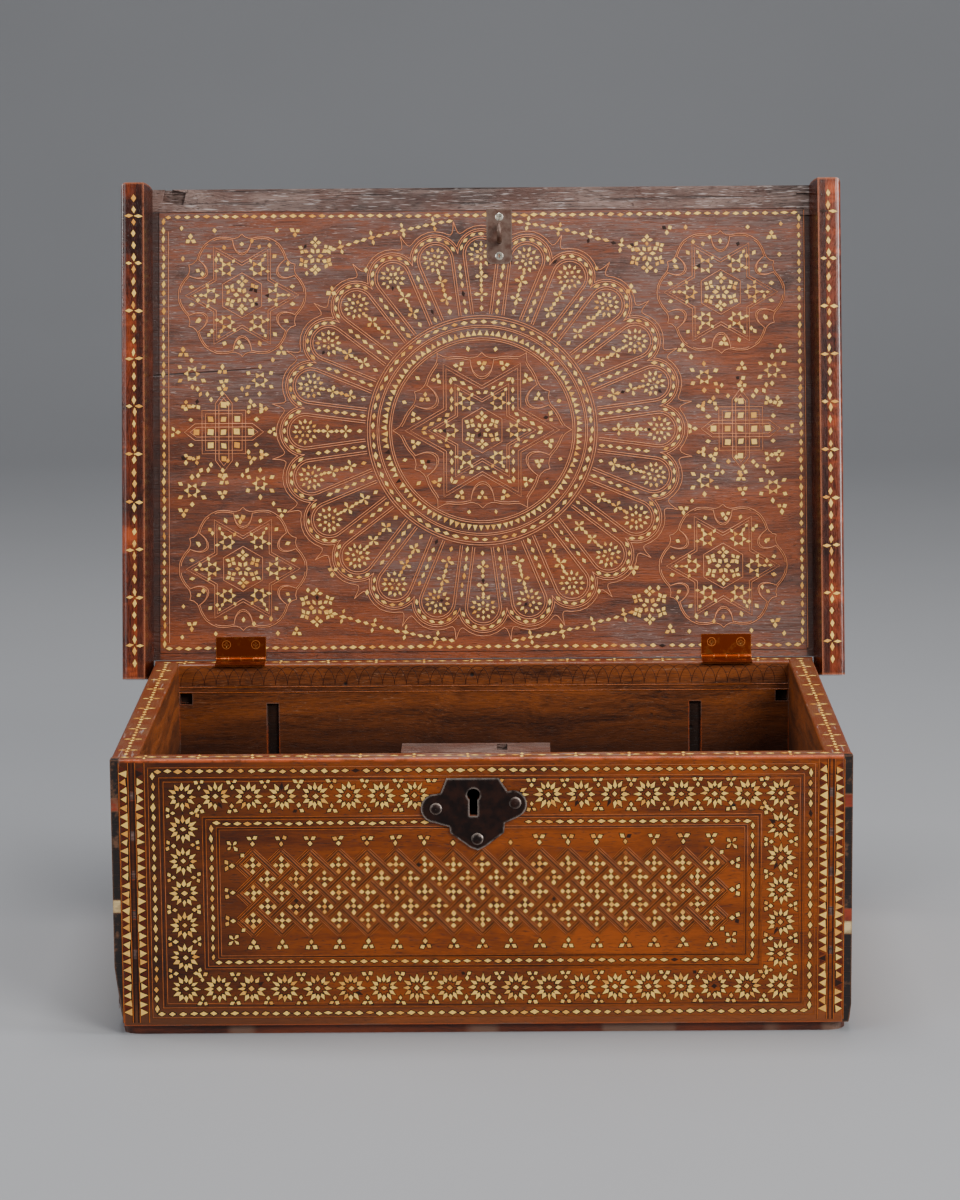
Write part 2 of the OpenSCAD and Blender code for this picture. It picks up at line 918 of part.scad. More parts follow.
// A round bar bent to a U, whose open side faces along the front.
module staple() {
    bend_z = plate_face_z - (staple_drop - leg_offset - staple_bar / 2);
    color(iron)
    opened() {
        for (side = [-1, 1])
            translate([staple_x, bolt_y + side * leg_offset, bend_z])
                cylinder(h = plate_face_z - bend_z + leg_l, r = staple_bar / 2);
        translate([staple_x, bolt_y, bend_z])
            rotate([90, 0, 90])
                rotate([0, 0, 180])
                    rotate_extrude(angle = 180)
                        translate([leg_offset, 0]) circle(r = staple_bar / 2);
    }
}

module staple_screws() {
    color(nickel)
        opened()
            at_staple_screws()
                screw(staple_head_r, staple_shank_r, staple_screw_l, 0.25);
}

front_board();
back_board();
side_board_left();
side_board_right();
bottom_board();
bottom_nails();
corner_pegs_front();
corner_pegs_back();
edge_blocks_black();
edge_blocks_red();
edge_blocks_bone();
escutcheon();
escutcheon_studs();
lock_block();
lock_block_nails();
lock_plate();
bolt_guides();
lock_spring();
lock_bolt();
hinge_leaf_box_left();
hinge_leaf_box_right();
hinge_pin_left();
hinge_pin_right();
hinge_screws_box();
lid_panel();
lid_front_strip();
lid_corner_patch();
batten_left();
batten_right();
batten_pegs();
hinge_leaf_lid_left();
hinge_leaf_lid_right();
hinge_screws_lid();
staple_plate();
staple();
staple_screws();
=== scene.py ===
"""Looks of an inlaid wooden box: woods, bone inlay, metal fittings, and the stage it stands on."""

import json
import math
import random

import bmesh
import bpy
import numpy as np
from bpy.props import FloatProperty, FloatVectorProperty, IntProperty, PointerProperty
from mathutils import Matrix, Vector


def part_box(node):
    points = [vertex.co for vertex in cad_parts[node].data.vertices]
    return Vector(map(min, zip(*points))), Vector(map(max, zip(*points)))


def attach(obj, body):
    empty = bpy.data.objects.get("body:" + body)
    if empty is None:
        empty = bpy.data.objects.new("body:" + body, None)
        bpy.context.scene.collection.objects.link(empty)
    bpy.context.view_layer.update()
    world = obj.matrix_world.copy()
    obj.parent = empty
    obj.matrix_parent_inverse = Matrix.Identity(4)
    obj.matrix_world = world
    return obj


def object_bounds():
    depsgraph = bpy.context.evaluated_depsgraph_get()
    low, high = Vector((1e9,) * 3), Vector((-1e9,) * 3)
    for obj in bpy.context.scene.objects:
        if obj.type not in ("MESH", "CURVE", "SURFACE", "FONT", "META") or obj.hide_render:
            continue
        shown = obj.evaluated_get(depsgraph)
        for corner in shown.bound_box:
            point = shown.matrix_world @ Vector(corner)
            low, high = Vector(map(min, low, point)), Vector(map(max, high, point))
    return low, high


bl_info = {
    "name": "Inlaid Wooden Box",
    "version": (1, 0, 0),
    "blender": (4, 5, 0),
    "location": "3D View > Sidebar > Inlaid Box",
    "description": "Woods, bone inlay and metal fittings of an old hinged box",
    "category": "Add Mesh",
}

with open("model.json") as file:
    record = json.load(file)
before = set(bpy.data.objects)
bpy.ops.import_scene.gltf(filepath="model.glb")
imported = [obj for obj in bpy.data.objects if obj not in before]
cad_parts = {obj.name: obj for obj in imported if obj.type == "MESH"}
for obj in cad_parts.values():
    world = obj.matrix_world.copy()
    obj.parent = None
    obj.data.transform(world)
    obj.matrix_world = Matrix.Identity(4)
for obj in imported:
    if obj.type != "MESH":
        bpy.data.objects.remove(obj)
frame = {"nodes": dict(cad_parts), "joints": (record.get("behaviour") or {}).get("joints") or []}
CAD_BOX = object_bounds()
NODES = frame["nodes"]
MM = 0.001
SCREEN_GAMMA = 2.2

FRONT_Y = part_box("front_board")[0].y
HALF_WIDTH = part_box("front_board")[1].x
RIM_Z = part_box("front_board")[1].z

HINGE = next(j for j in frame["joints"] if j["name"] == "lid_hinge")
HINGE_POINT = Vector(HINGE["pos_m"])
LID_ANGLE = math.radians(max(HINGE["range_deg"]))

# Linear colours of the darkest places.
PORE_SHADE = (0.01, 0.006, 0.004)
DENT_SHADE = (0.008, 0.005, 0.004)
GROOVE_SHADE = (0.006, 0.004, 0.003)

# Millimetres: how deep a chip is set, how far the mastic stands above the wood, and how far
# rubbing has spread the edges of a chip at its ends, as a share of its growth at its sides.
CHIP_SUNK = 0.5
MASTIC_PROUD = 0.04
END_GROWTH = 1.5

# Height of a string as a share of its width.
STRING_LIFT = 0.32


def srgb(red, green, blue):
    """Linear colour of a paint given in the usual 0 to 255 screen values."""
    return tuple((v / 255) ** SCREEN_GAMMA for v in (red, green, blue))


def paint(name, description, red, green, blue):
    """A colour property whose default is given in the same screen values."""
    return FloatVectorProperty(name=name, description=description, subtype="COLOR",
                               default=srgb(red, green, blue))


# ---------------------------------------------------------------- properties


class BOXINLAY_PG_woods(bpy.types.PropertyGroup):
    panel_light: paint("Outside light", "Light figure of the walls' outer faces", 162, 78, 6)
    panel_dark: paint("Outside dark", "Dark figure of the walls' outer faces", 92, 40, 3)
    ground_light: paint("Faded brown", "Dull brown of the rim and along the foot", 112, 70, 46)
    # Ground dark: the painted shade at the left of the box, and its clouds.
    ground_dark: paint("Shaded brown", "Dark brown of the painted shade at the left of the box and of its clouds", 18, 9, 3)
    rim: paint("Rim", "Polished red brown of the rim", 110, 50, 24)
    # Arris also paints the highlight on rubbed edges, as well as their wear.
    arris: paint("Arris", "Orange red of edges rubbed by hands", 186, 84, 42)
    inside_light: paint("Inside light", "Light figure of the bare wood inside", 172, 90, 34)
    # Inside dark also paints the shade deep inside the box.
    inside_dark: paint("Inside dark", "Dark figure of the bare wood inside", 46, 22, 9)
    lid_light: paint("Lid light", "Light figure of the lid's inner face", 144, 66, 13)
    lid_dark: paint("Lid dark", "Dark figure of the lid's inner face", 60, 27, 10)
    # A painted grey mauve sheen on the lid's raised grain.
    lid_sheen: paint("Lid bloom", "Grey mauve bloom on the lid's raised grain", 112, 87, 80)
    batten_light: paint("Batten light", "Red figure of the battens", 182, 74, 24)
    # Batten dark also paints the shade on the battens' sloped sides and where the lid panel meets
    # them.
    batten_dark: paint("Batten dark", "Blackened parts of the battens", 36, 15, 9)
    raw_light: paint("Raw light", "Pale figure of the rough weathered wood", 142, 116, 106)
    raw_dark: paint("Raw dark", "Dark figure of the rough weathered wood", 52, 40, 36)
    raw_red: paint("Raw red", "Red brown that shows through the weathered wood", 86, 46, 30)
    raw_dry: paint("Raw dry", "Driest fibres of the weathered wood", 206, 190, 184)
    scuff: paint("Scuff", "Pale scratches on the bare wood inside", 160, 116, 86)
    worn: paint("Worn", "Grey bare wood on the walls' worn edges", 118, 96, 86)
    pale_length: paint("Pale length", "Pale lengths of the bottom board's edge", 128, 100, 84)
    stain: paint("Stain", "Dark stains on the lid", 44, 26, 20)
    # A painted pale highlight on the lid's raised fibres.
    hair_highlight: paint("Hair", "Painted highlight on the lid's raised fibres", 196, 168, 156)
    # The battens' rubbed edges: wear, with a painted glint.
    batten_edge: paint("Batten edge", "Rubbed edges of the battens", 206, 124, 88)
    block_black: paint("Black block", "Black blocks let into the corners", 30, 17, 11)
    block_red: paint("Red block", "Red blocks let into the corners", 150, 56, 30)
    block_bone: paint("Bone block", "Bone blocks let into the corners", 226, 196, 140)
    block_worn: paint("Worn block", "Brown wear on every block", 128, 88, 62)


class BOXINLAY_PG_inlay(bpy.types.PropertyGroup):
    bone: paint("Bone", "Clean ivory yellow bone", 255, 206, 104)
    bone_stained: paint("Stained bone", "Bone stained by wax and smoke", 224, 148, 58)
    red_chip: paint("Red chip", "Red wood chips between the bone triangles", 98, 38, 14)
    line_pale: paint("Pale line", "Orange wood stringing", 190, 100, 38)
    line_lid: paint("Lid line", "Rosy wood stringing on the lid", 236, 150, 104)
    line_dark: paint("Dark line", "Near-black wood stringing", 34, 20, 16)
    mastic: paint("Mastic", "Dark filler around the chips", 34, 17, 8)
    # A painted brown shadow beside each string.
    line_bed: paint("Line shadow", "Painted brown shadow beside each string", 82, 38, 14)
    strap: paint("Strap", "Golden brown of the woven straps", 88, 46, 8)
    line_cut: paint("Cut line", "Lines cut inside the back board", 64, 28, 12)
    pit: paint("Pit", "Recess left by a lost chip", 52, 28, 16)
    bone_dirt: paint("Bone dirt", "Brown spots on the bone", 120, 76, 40)
    line_width: FloatProperty(
        name="Line width", description="Width of one stringing line",
        subtype="DISTANCE", unit="LENGTH", default=0.62 * MM, min=0.2 * MM, max=1.0 * MM)
    proud: FloatProperty(
        name="Chip height", description="How far a chip stands above the wood",
        subtype="DISTANCE", unit="LENGTH", default=0.14 * MM, min=0.05 * MM, max=0.3 * MM)
    missing: FloatProperty(
        name="Missing", description="Share of the chips that have fallen out",
        subtype="FACTOR", default=0.014, min=0, max=0.3)
    unevenness: FloatProperty(
        name="Unevenness", description="How unevenly the chips were cut and set",
        subtype="FACTOR", default=0.09, min=0, max=0.3)
    seed: IntProperty(
        name="Seed", description="Picks which chips are uneven or missing", default=7, min=0)


class BOXINLAY_PG_metals(bpy.types.PropertyGroup):
    brass: paint("Brass", "Polished copper-gold brass", 230, 140, 76)
    brass_dull: paint("Dull brass", "Brown patina on the hinge leaves", 104, 38, 12)
    iron: paint("Iron", "Dark brown iron", 28, 13, 7)
    # Bare iron on worn edges, which also paints their highlight.
    iron_wear_and_highlight: paint("Worn iron", "Bare iron on worn edges", 198, 182, 170)
    plate: paint("Staple plate", "Grey brown oxide on the staple's plate", 112, 92, 82)
    nickel: paint("Nickel", "Bright plated screws", 232, 224, 206)
    rust: paint("Rust", "Brown oxide on the iron", 50, 24, 12)
    plate_rust: paint("Plate rust", "Brown oxide on the staple's plate", 86, 58, 48)
    nickel_dirt: paint("Nickel dirt", "Dirt on the plated screws", 120, 100, 76)


class BOXINLAY_PG_stage(bpy.types.PropertyGroup):
    floor: paint("Floor", "Colour of the pale floor", 158, 159, 162)
    lens: FloatProperty(
        name="Lens", description="Focal length of the camera, for a 36 mm high sensor",
        subtype="DISTANCE_CAMERA", default=119.1, min=20, max=300)
    distance: FloatProperty(
        name="Distance", description="Distance from the camera to the front rim",
        subtype="DISTANCE", unit="LENGTH", default=2.455, min=0.5, max=6)
    pitch: FloatProperty(
        name="Pitch", description="How far the camera looks down",
        subtype="ANGLE", default=math.radians(9.7))
    turn: FloatProperty(
        name="Turn", description="How far the camera stands to the side",
        subtype="ANGLE", default=math.radians(-0.38))
    roll: FloatProperty(
        name="Roll", description="How far the camera leans to one side",
        subtype="ANGLE", default=math.radians(0.44))
    rise: FloatProperty(
        name="Rise", description="How far the camera's axis passes over the front rim",
        subtype="DISTANCE", unit="LENGTH", default=0.0976)


# ---------------------------------------------------------------- shader tools


class Graph:
    """Adds nodes to a tree and links them, so that materials read as short recipes."""

    def __init__(self, tree, material=None):
        self.tree = tree
        self.material = material
        self.shader = tree.nodes["Principled BSDF"] if material else None

    def put(self, socket, source):
        if isinstance(source, bpy.types.NodeSocket):
            self.tree.links.new(source, socket)
        elif socket.type == "RGBA":
            socket.default_value = (*source[:3], 1.0)
        else:
            socket.default_value = source

    def add(self, kind, inputs=None, **settings):
        node = self.tree.nodes.new("ShaderNode" + kind)
        for name, setting in settings.items():
            setattr(node, name, setting)
        for name, source in (inputs or {}).items():
            self.put(node.inputs[name], source)
        return node

    def math(self, operation, first, second=0.0, clamp=False):
        node = self.add("Math", {0: first, 1: second}, operation=operation, use_clamp=clamp)
        return node.outputs[0]

    def times(self, first, second):
        return self.math("MULTIPLY", first, second)

    def plus(self, first, second, clamp=False):
        return self.math("ADD", first, second, clamp)

    def vector(self, operation, first, second):
        return self.add("VectorMath", {0: first, 1: second}, operation=operation).outputs[0]

    def noise(self, vector, scale, detail=3.0, roughness=0.55, distortion=0.0):
        node = self.add("TexNoise", {
            "Vector": vector, "Scale": scale, "Detail": detail,
            "Roughness": roughness, "Distortion": distortion})
        return node.outputs["Fac"]

    def streaks(self, vector, along, *details):
        """Noise drawn out along X. The smaller the share of X that counts, the longer it runs."""
        return self.noise(self.vector("MULTIPLY", vector, (along, 1.0, 1.0)), *details)

    def axes(self, vector):
        return self.add("SeparateXYZ", {0: vector}).outputs

    def step(self, value, low, high, out_low=0.0, out_high=1.0):
        node = self.add("MapRange", {
            "Value": value, "From Min": low, "From Max": high,
            "To Min": out_low, "To Max": out_high})
        node.interpolation_type = "SMOOTHSTEP"
        return node.outputs["Result"]

    def mix(self, factor, first, second):
        """Mixes two colours, which are inputs 6 and 7 and output 2 of the Mix node."""
        node = self.add("Mix", data_type="RGBA")
        for index, source in ((0, factor), (6, first), (7, second)):
            self.put(node.inputs[index], source)
        return node.outputs[2]

    def group(self, tree, **inputs):
        node = self.tree.nodes.new("ShaderNodeGroup")
        node.node_tree = tree
        for name, source in inputs.items():
            self.put(node.inputs[name], source)
        return node.outputs

    def dress(self, colour, roughness, height=None, distance=0.0, strength=0.0, **constants):
        """Feeds the shader and returns the material. Constants go on the shader's own sockets."""
        self.put(self.shader.inputs["Base Color"], colour)
        self.put(self.shader.inputs["Roughness"], roughness)
        if height is not None:
            bump = self.add("Bump", {"Height": height, "Distance": distance, "Strength": strength})
            self.put(self.shader.inputs["Normal"], bump.outputs[0])
        for name, value in constants.items():
            self.shader.inputs[name.replace("_", " ")].default_value = value
        return self.material


def new_group(name, inputs, outputs):
    """An empty node group with its sockets. Returns the graph and its two ends."""
    tree = bpy.data.node_groups.new(name, "ShaderNodeTree")
    kinds = {"F": "NodeSocketFloat", "C": "NodeSocketColor", "V": "NodeSocketVector"}
    for socket, kind in inputs.items():
        tree.interface.new_socket(socket, in_out="INPUT", socket_type=kinds[kind])
    for socket, kind in outputs.items():
        tree.interface.new_socket(socket, in_out="OUTPUT", socket_type=kinds[kind])
    graph = Graph(tree)
    start = tree.nodes.new("NodeGroupInput").outputs
    end = tree.nodes.new("NodeGroupOutput").inputs
    return graph, start, end


def wood_group():
    """Long grain: a broad figure, fine fibres and short dark pores, running along X."""
    g, start, end = new_group(
        "Wood Grain",
        {"Vector": "V", "Light": "C", "Dark": "C", "Figure": "F", "Pores": "F"},
        {"Color": "C", "Fibre": "F", "Height": "F"})
    warp = g.noise(start["Vector"], 7.0, 2.0)
    bend = g.times(g.math("SUBTRACT", warp, 0.5), 0.03)
    shifted = g.vector("ADD", start["Vector"], g.add("CombineXYZ", {1: bend, 2: bend}).outputs[0])
    broad = g.streaks(shifted, 0.10, 70.0, 6.0, 0.62, 0.6)
    fibre = g.streaks(shifted, 0.08, 1300.0, 4.0, 0.7)
    pore = g.streaks(shifted, 0.10, 1700.0, 2.0, 0.5)
    pores = g.times(g.step(pore, 0.58, 0.70), start["Pores"])
    tone = g.plus(g.times(g.step(broad, 0.34, 0.66), start["Figure"]),
                  g.times(g.math("SUBTRACT", fibre, 0.5), 1.1))
    tone = g.plus(tone, 0.15, clamp=True)
    colour = g.mix(tone, start["Dark"], start["Light"])
    dark = g.mix(0.75, colour, PORE_SHADE)
    g.put(end["Color"], g.mix(pores, colour, dark))
    g.put(end["Fibre"], fibre)
    g.put(end["Height"], g.math("SUBTRACT", fibre, g.times(pores, 0.6)))
    return g.tree


def wear_group():
    """Rubbed edges, which also carry the painted edge highlights: bright where a rounded normal
    departs from the true one, broken by noise.
    """
    g, start, end = new_group("Edge Wear", {"Vector": "V", "Radius": "F", "Patchiness": "F"},
                              {"Mask": "F"})
    bevel = g.add("Bevel", {"Radius": start["Radius"]}, samples=4).outputs[0]
    true = g.add("NewGeometry").outputs["Normal"]
    facing = g.add("VectorMath", {0: bevel, 1: true}, operation="DOT_PRODUCT").outputs["Value"]
    edge = g.step(facing, 0.985, 0.86)
    patches = g.noise(start["Vector"], 120.0, 4.0, 0.6)
    cut = g.times(start["Patchiness"], 0.5)
    kept = g.step(patches, g.math("SUBTRACT", cut, 0.12), g.plus(cut, 0.12))
    g.put(end["Mask"], g.times(edge, kept))
    return g.tree


def grime_group():
    """Scattered marks: small dents, long scratches and blotches of old dirt."""
    g, start, end = new_group("Grime", {"Vector": "V", "Scale": "F"},
                              {"Blotch": "F", "Scratch": "F", "Dent": "F"})
    scaled = g.add("VectorMath", {0: start["Vector"]}, operation="SCALE")
    g.put(scaled.inputs["Scale"], start["Scale"])
    where = scaled.outputs[0]
    g.put(end["Blotch"], g.step(g.noise(where, 14.0, 5.0, 0.6, 0.5), 0.5, 0.72))
    lines = g.noise(g.vector("MULTIPLY", where, (1.0, 14.0, 14.0)), 22.0, 1.0, 0.4, 1.5)
    g.put(end["Scratch"], g.step(g.math("ABSOLUTE", g.math("SUBTRACT", lines, 0.5)), 0.007, 0.0))
    cells = g.add("TexVoronoi", {"Vector": where, "Scale": 75.0, "Randomness": 1.0})
    near = g.step(cells.outputs["Distance"], 0.16, 0.05)
    rare = g.step(g.noise(where, 30.0, 1.0), 0.62, 0.66)
    g.put(end["Dent"], g.times(near, rare))
    return g.tree


GROUPS = {}


def shared(name, maker):
    """Makes each node group once."""
    if name not in GROUPS:
        GROUPS[name] = maker()
    return GROUPS[name]


def new_material(name):
    """The graph of a new material with one Principled BSDF."""
    material = bpy.data.materials.new(name)
    material.use_nodes = True
    return Graph(material.node_tree, material)


def object_coordinates(g):
    """Object coordinates of a piece on the box, whose grain runs along X."""
    return g.add("TexCoord").outputs["Object"]


def closed_lid_coordinates(g):
    """Object coordinates of a piece on the lid, turned back to where it lies when shut."""
    turn = Matrix.Rotation(-LID_ANGLE, 4, "X")
    mapping = g.add("Mapping", {"Vector": object_coordinates(g),
                                "Location": HINGE_POINT - turn @ HINGE_POINT,
                                "Rotation": (-LID_ANGLE, 0, 0)}, vector_type="TEXTURE")
    return mapping.outputs[0]


def crosswise(g, vector):
    """The same coordinates with X and Y swapped, for grain that runs from front to back."""
    x, y, z = g.axes(vector)
    return g.add("CombineXYZ", {0: y, 1: x, 2: z}).outputs[0]


def inside_mask(g, true):
    """One on every face inside the box, with its grooves, nought on the outside and the rim."""
    margin = 0.0018
    x, y, z = g.axes(true)
    in_x = g.step(g.math("ABSOLUTE", x), HALF_WIDTH - margin / 2, HALF_WIDTH - margin)
    in_y = g.step(g.math("ABSOLUTE", y), -FRONT_Y - margin / 2, -FRONT_Y - margin)
    in_z = g.step(z, RIM_Z - margin / 2, RIM_Z - margin)
    return g.times(g.times(in_x, in_y), in_z)


def grain(g, where, light, dark, figure, pores):
    """Wood between two browns. Figure and pores say how strongly each shows."""
    return g.group(shared("wood", wood_group), Vector=where, Light=light, Dark=dark,
                   Figure=figure, Pores=pores)


def rubbed_edges(g, where, radius, patchiness, strength=1.0):
    """Mask of the edges that hands have rubbed, within a radius of each edge; pale colours laid on
    it add a painted edge highlight.
    """
    wear = g.group(shared("wear", wear_group), Vector=where, Radius=radius, Patchiness=patchiness)
    return g.times(wear["Mask"], strength)


def casket_wood(name, side_to_side):
    """Wall boards: orange brown outside, red polished rim, bare scuffed wood inside."""
    woods = bpy.context.scene.box_woods
    g = new_material(name)
    true = object_coordinates(g)
    x, y, z = g.axes(true)
    where = true if side_to_side else crosswise(g, true)
    outside = grain(g, where, woods.panel_light, woods.panel_dark, 0.65, 0.9)
    inside = grain(g, where, woods.inside_light, woods.inside_dark, 0.4, 0.7)
    grime = g.group(shared("grime", grime_group), Vector=where, Scale=1.0)

    # Painted shade that darkens the left of the front, clouds everywhere, and a dull band along the
    # foot.
    cloud = g.noise(true, 18.0, 4.0, 0.6)
    # smoke holds the painted shade at the left of the front, and then the clouds.
    smoke = g.step(g.plus(x, g.times(cloud, 0.08)), 0.03, -0.21)
    smoke = g.times(smoke, g.step(y, 0.10, FRONT_Y + 0.003, 0.25, 0.80))
    smoke = g.math("MAXIMUM", smoke, g.times(g.step(cloud, 0.45, 0.72), 0.42))
    colour = g.mix(smoke, outside["Color"], woods.ground_dark)
    foot = g.times(g.step(z, 0.026, 0.010), 0.5)
    colour = g.mix(foot, colour, woods.ground_light)

    # The rim, splintered along the front board and most of all beside the lock.
    dull = g.step(g.noise(where, 60.0, 5.0, 0.65), 0.35, 0.7)
    rim_tone = g.mix(dull, woods.rim, woods.ground_light)
    near_lock = g.step(g.math("ABSOLUTE", g.plus(x, 0.005)), 0.085, 0.06)
    on_front = g.step(y, FRONT_Y + 0.023, FRONT_Y + 0.016)
    sliver = g.streaks(where, 0.07, 420.0, 3.0, 0.6)
    sliver = g.plus(sliver, g.times(g.times(near_lock, on_front), 0.07))
    sliver = g.plus(sliver, g.times(on_front, 0.05))
    rim_tone = g.mix(g.step(sliver, 0.62, 0.68), rim_tone, woods.raw_light)
    facing_up = g.axes(g.add("TexCoord").outputs["Normal"])[2]
    colour = g.mix(g.step(facing_up, 0.35, 0.85), colour, rim_tone)
    # The orange line along the front rim's arris is rubbed wear with a painted highlight.
    front_edge = g.times(g.step(y, FRONT_Y + 0.0025, FRONT_Y + 0.0012),
                         g.step(z, RIM_Z - 0.0025, RIM_Z - 0.0012))
    unbroken = g.step(g.noise(where, 70.0, 4.0, 0.65), 0.36, 0.54, 0.1, 0.85)
    colour = g.mix(g.times(front_edge, unbroken), colour, woods.arris)

    # The inside, with painted shade darker towards the bottom, and black in the back board's
    # grooves.
    within = inside_mask(g, true)
    bare = g.mix(g.times(grime["Scratch"], 0.55), inside["Color"], woods.scuff)
    bare = g.mix(g.times(grime["Blotch"], 0.4), bare, woods.inside_dark)
    # Painted shade deep inside the box.
    depth = g.times(g.step(z, 0.158, 0.11), 0.82)
    bare = g.mix(depth, bare, woods.inside_dark)
    if side_to_side:
        inner_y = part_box("back_board")[0].y
        sunk = g.step(g.math("ABSOLUTE", y), inner_y + 0.0004, inner_y + 0.0020)
        bare = g.mix(g.times(sunk, 0.85), bare, GROOVE_SHADE)
    colour = g.mix(within, colour, bare)

    # Orange red and grey on the rubbed edges: wear, with a painted edge highlight.
    arris = g.mix(g.step(g.noise(where, 45.0, 4.0), 0.45, 0.6), woods.arris, woods.worn)
    colour = g.mix(rubbed_edges(g, where, 0.0014, 0.7, 0.85), colour, arris)
    colour = g.mix(grime["Dent"], colour, DENT_SHADE)
    rough = g.plus(g.step(outside["Fibre"], 0.3, 0.7, 0.30, 0.44), g.times(within, 0.18))
    height = g.math("SUBTRACT", outside["Height"], g.times(grime["Dent"], 2.0))
    return g.dress(colour, rough, height, 0.00025, 0.5, Specular_IOR_Level=0.35)


def bottom_wood():
    """The bottom board: dark red brown along its edge, in lengths of different wood."""
    woods = bpy.context.scene.box_woods
    g = new_material("bottom_wood")
    where = object_coordinates(g)
    wood = grain(g, where, woods.rim, woods.batten_dark, 0.8, 0.6)
    lengths = g.noise(g.vector("MULTIPLY", where, (1.0, 0.05, 0.05)), 16.0, 1.0)
    front_edge = g.step(g.axes(where)[1], FRONT_Y + 0.008, FRONT_Y + 0.006)
    pale = g.times(g.step(lengths, 0.56, 0.60, 0.0, 0.6), front_edge)
    colour = g.mix(pale, wood["Color"], woods.pale_length)
    return g.dress(colour, g.step(wood["Fibre"], 0.3, 0.7, 0.4, 0.6), wood["Height"], 0.0003, 0.6)


def lid_wood():
    """Orange brown wood with a painted grey sheen that grows towards its front edge, and dark
    stains.
    """
    woods = bpy.context.scene.box_woods
    g = new_material("lid_walnut")
    where = closed_lid_coordinates(g)
    x, y, _ = g.axes(where)
    wood = grain(g, where, woods.lid_light, woods.lid_dark, 0.75, 0.9)
    # A painted grey mauve sheen on the raised grain, in patches that grow towards the front edge.
    to_front = g.times(g.step(y, 0.06, -0.15), 0.17)
    patch = g.step(g.plus(g.streaks(where, 0.4, 16.0, 5.0, 0.65), to_front), 0.46, 0.66)
    streak = g.streaks(where, 0.09, 850.0, 3.0, 0.6)
    sheen = g.times(patch, g.step(streak, 0.40, 0.60, 0.25, 0.85))
    colour = g.mix(sheen, wood["Color"], woods.lid_sheen)

    # Stains: a scatter of small ones, and one above the staple and one near the right hinge.
    stain = g.step(g.noise(where, 24.0, 5.0, 0.65), 0.60, 0.74)
    ragged = g.times(g.noise(where, 90.0, 4.0, 0.6), 0.03)
    for spot, reach in (((-0.014, -0.131, 0.177), 0.026), ((0.132, 0.128, 0.177), 0.022)):
        far = g.add("VectorMath", {0: where, 1: spot}, operation="DISTANCE").outputs["Value"]
        near = g.step(g.plus(far, ragged), reach + 0.008, reach - 0.004)
        stain = g.math("MAXIMUM", stain, near)
    colour = g.mix(g.times(stain, 0.7), colour, woods.stain)

    # Dark lines along the grain, and raised fibres with a painted pale highlight.
    lines = g.step(g.streaks(where, 0.05, 520.0, 2.0, 0.5), 0.60, 0.70)
    colour = g.mix(g.times(lines, 0.65), colour, woods.lid_dark)
    hair_highlight = g.step(g.streaks(where, 0.10, 1500.0, 2.0, 0.6), 0.62, 0.70)
    hair_highlight = g.times(hair_highlight, g.step(patch, 0.0, 1.0, 0.12, 0.6))
    colour = g.mix(hair_highlight, colour, woods.hair_highlight)

    # A crack in from the left end, and painted shade where the panel meets the battens.
    away = g.math("ABSOLUTE", g.plus(y, g.plus(g.times(x, 0.06), 0.0505)))
    crack = g.times(g.step(away, 0.0007, 0.0002), g.step(x, -0.150, -0.165))
    colour = g.mix(g.times(crack, 0.8), colour, woods.batten_dark)
    # Painted shade along the panel's edges beside the battens.
    ends = g.step(g.math("ABSOLUTE", x), 0.2255, 0.2275)
    colour = g.mix(g.times(ends, 0.8), colour, woods.batten_dark)
    height = g.plus(wood["Height"], g.times(streak, 0.8))
    height = g.math("SUBTRACT", g.plus(height, hair_highlight), g.times(crack, 3.0))
    return g.dress(colour, g.step(wood["Fibre"], 0.3, 0.7, 0.50, 0.34), height, 0.0004, 0.8)


def batten_wood():
    """Polished red wood, worn to black in bands along its length."""
    woods = bpy.context.scene.box_woods
    g = new_material("batten_wood")
    closed = closed_lid_coordinates(g)
    where = crosswise(g, closed)
    wood = grain(g, where, woods.batten_light, woods.batten_dark, 0.25, 0.5)
    bands = g.noise(g.vector("MULTIPLY", closed, (0.4, 0.9, 0.4)), 26.0, 5.0, 0.65)
    black = g.times(g.step(bands, 0.48, 0.60), 0.8)
    colour = g.mix(black, wood["Color"], woods.batten_dark)
    glow = g.times(g.step(bands, 0.44, 0.34), 0.7)
    colour = g.mix(glow, colour, woods.arris)
    # Painted shade on the sloped inner side of each batten.
    face_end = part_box("lid_panel")[1].x + 0.0042
    sloped_shade = g.step(g.math("ABSOLUTE", g.axes(closed)[0]), face_end, face_end - 0.0008)
    colour = g.mix(g.times(sloped_shade, 0.75), colour, woods.batten_dark)
    # The battens' rubbed edges: wear, with a painted glint.
    colour = g.mix(rubbed_edges(g, where, 0.003, 0.7, 0.7), colour, woods.batten_edge)
    return g.dress(colour, g.step(wood["Fibre"], 0.3, 0.7, 0.20, 0.34), wood["Height"], 0.0002, 0.4,
                   Coat_Weight=0.3, Coat_Roughness=0.15)


